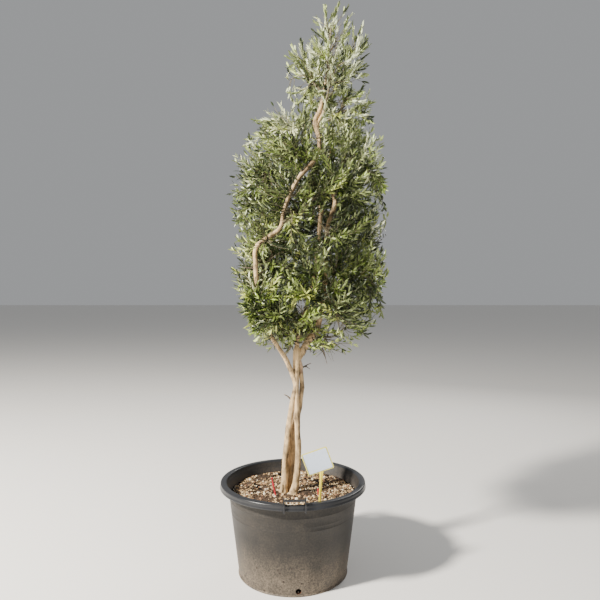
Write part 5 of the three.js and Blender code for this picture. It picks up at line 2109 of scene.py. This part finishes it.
# %% Finishes of the label and the pegs
CARD_PAPER = mottled("card_paper", (0.50, 0.56, 0.66), (0.44, 0.50, 0.60), 60.0, 2.0, 0.55, 0.1, 0.0004)
HOLDER_PLASTIC = dusty("holder_plastic", (0.60, 0.54, 0.10), (0.50, 0.44, 0.20), 0.35, 0.4, 0.75, 24.0,
                       0.45)
STAKE_PLASTIC = dusty("stake_plastic", (0.72, 0.58, 0.03), (0.55, 0.46, 0.20), 0.35, 0.38, 0.62, 24.0,
                      0.42)
PEG_PLASTIC = dusty("peg_plastic", (0.50, 0.012, 0.035), (0.45, 0.20, 0.16), 0.3, 0.38, 0.56, 30.0, 0.35)
print("finishes", [finish.name for finish in (CARD_PAPER, HOLDER_PLASTIC, STAKE_PLASTIC, PEG_PLASTIC)])

# %% Plates with rounded corners
CARD_CENTRE = (122, -230, 632)
CARD_ROLL, CARD_YAW = 21, -8
CORNER_STEPS = 4
card_place = (Matrix.Translation(Vector(CARD_CENTRE) * MM) @ Matrix.Rotation(math.radians(CARD_YAW), 4, "Z")
              @ Matrix.Rotation(math.radians(-CARD_ROLL), 4, "Y"))


def rounded_plate(name, width, height, thickness, corner, centre):
    """A plate with rounded corners in the card's own plane."""
    outline = []
    for number, (side, level) in enumerate(((1, 1), (-1, 1), (-1, -1), (1, -1))):
        for step in range(CORNER_STEPS + 1):
            angle = math.pi / 2 * (number + step / CORNER_STEPS)
            outline.append((side * (width / 2 - corner) + corner * math.cos(angle),
                            level * (height / 2 - corner) + corner * math.sin(angle)))
    vertices = [(centre[0] + x, centre[1] + y, centre[2] + z)
                for y in (-thickness / 2, thickness / 2) for x, z in outline]
    count = len(outline)
    faces = [tuple(range(count)), tuple(reversed(range(count, 2 * count))), *ring_faces(2, count)]
    mesh = mesh_of(name, np.array(vertices) * MM, faces)
    bm = bmesh.new()
    bm.from_mesh(mesh)
    bmesh.ops.recalc_face_normals(bm, faces=bm.faces)
    bm.to_mesh(mesh)
    bm.free()
    mesh.transform(card_place)
    return mesh


print("card stands at", CARD_CENTRE)

# %% Card and holder
CARD_WIDTH, CARD_HEIGHT, CARD_THICKNESS = 122, 98, 1.5
FRAME_BORDER, FRAME_THICKNESS = 5, 3
card_front = -(FRAME_THICKNESS + CARD_THICKNESS) / 2 - GAP
card_mesh = rounded_plate("card_sheet", CARD_WIDTH, CARD_HEIGHT, CARD_THICKNESS, 4, (0, card_front, 0))
card = dress("card_sheet", card_mesh, [CARD_PAPER], ["label_card"])
outer_width, outer_height = CARD_WIDTH + 2 * FRAME_BORDER, CARD_HEIGHT + 2 * FRAME_BORDER
back_plate = rounded_plate("back_plate", outer_width, outer_height, FRAME_THICKNESS, 6, (0, 0, 0))
edge_width = FRAME_BORDER - GAP
edge = rounded_plate("edge", edge_width, outer_height - 4, 2 * FRAME_THICKNESS, 1.5,
                     ((edge_width - outer_width) / 2, -FRAME_THICKNESS, 0))
holder_mesh = joined("holder_moulded", [back_plate, edge])
holder = dress("holder_moulded", holder_mesh, [HOLDER_PLASTIC], ["label_holder"])
print("holder", outer_width, "by", outer_height)

# %% Stake
STAKE_STEPS = 16
STAKE_FOOT = (130, -230, SOIL_LEVEL - SOIL_DROP)
STAKE_SECTION = ((-1, -1.5), (-0.25, -1.9), (0, -3.6), (0.25, -1.9), (1, -1.5), (1, 1.5), (-1, 1.5))
neck = card_place @ (Vector((0, 0, -(CARD_HEIGHT + FRAME_BORDER) / 2)) * MM)
foot = Vector(STAKE_FOOT) * MM
tilted = (card_place.to_3x3() @ Vector((1, 0, 0))).normalized()
stake_vertices = []
for step in range(STAKE_STEPS + 1):
    share = step / STAKE_STEPS
    middle = foot.lerp(neck, share)
    across = Vector((1, 0, 0)).lerp(tilted, share).normalized()
    half = lerp(5.5, 6.5, share) + 8.5 * max(0.0, share - 0.72) / 0.28 * max(0.0, share - 0.5)
    for x, y in STAKE_SECTION:
        stake_vertices.append(middle + (across * x * half + Vector((0, y, 0))) * MM)
sides = len(STAKE_SECTION)
stake_faces = ring_faces(STAKE_STEPS + 1, sides)
stake_faces += [tuple(reversed(range(sides))), tuple(STAKE_STEPS * sides + k for k in range(sides))]
stake_mesh = mesh_of("stake", [v[:] for v in stake_vertices], stake_faces)
stake = dress("holder_stake", stake_mesh, [STAKE_PLASTIC])
for piece in (holder, stake, card):
    piece.data.set_sharp_from_angle(angle=math.radians(35))
print("the stake meets the holder at", [round(v, 3) for v in neck])

# %% Pegs
PEGS = {"drip_peg_left": ((-87, -92), (-107, -92, 509)), "drip_peg_right": ((131, -80), (129, -80, 448))}
PEG_PROFILE = ((0.0, 4.4), (0.55, 4.0), (0.6, 4.9), (0.66, 4.9), (0.7, 3.6), (0.93, 3.2), (0.95, 4.3),
               (1.0, 4.3))
PEG_SIDES = 14
for name, (peg_foot, head) in PEGS.items():
    start = np.array([*peg_foot, SOIL_LEVEL - 3], dtype=float)
    end = np.array(head, dtype=float)
    peg = TubeSet()
    places = [lerp(start, end, share * 0.985) for share, _ in PEG_PROFILE]
    peg.add(places, [radius for _, radius in PEG_PROFILE], PEG_SIDES)
    piece = dress(name + "_turned", peg.mesh(name + "_turned"), [PEG_PLASTIC], [name])
    piece.data.set_sharp_from_angle(angle=math.radians(40))
print("pegs", list(PEGS))
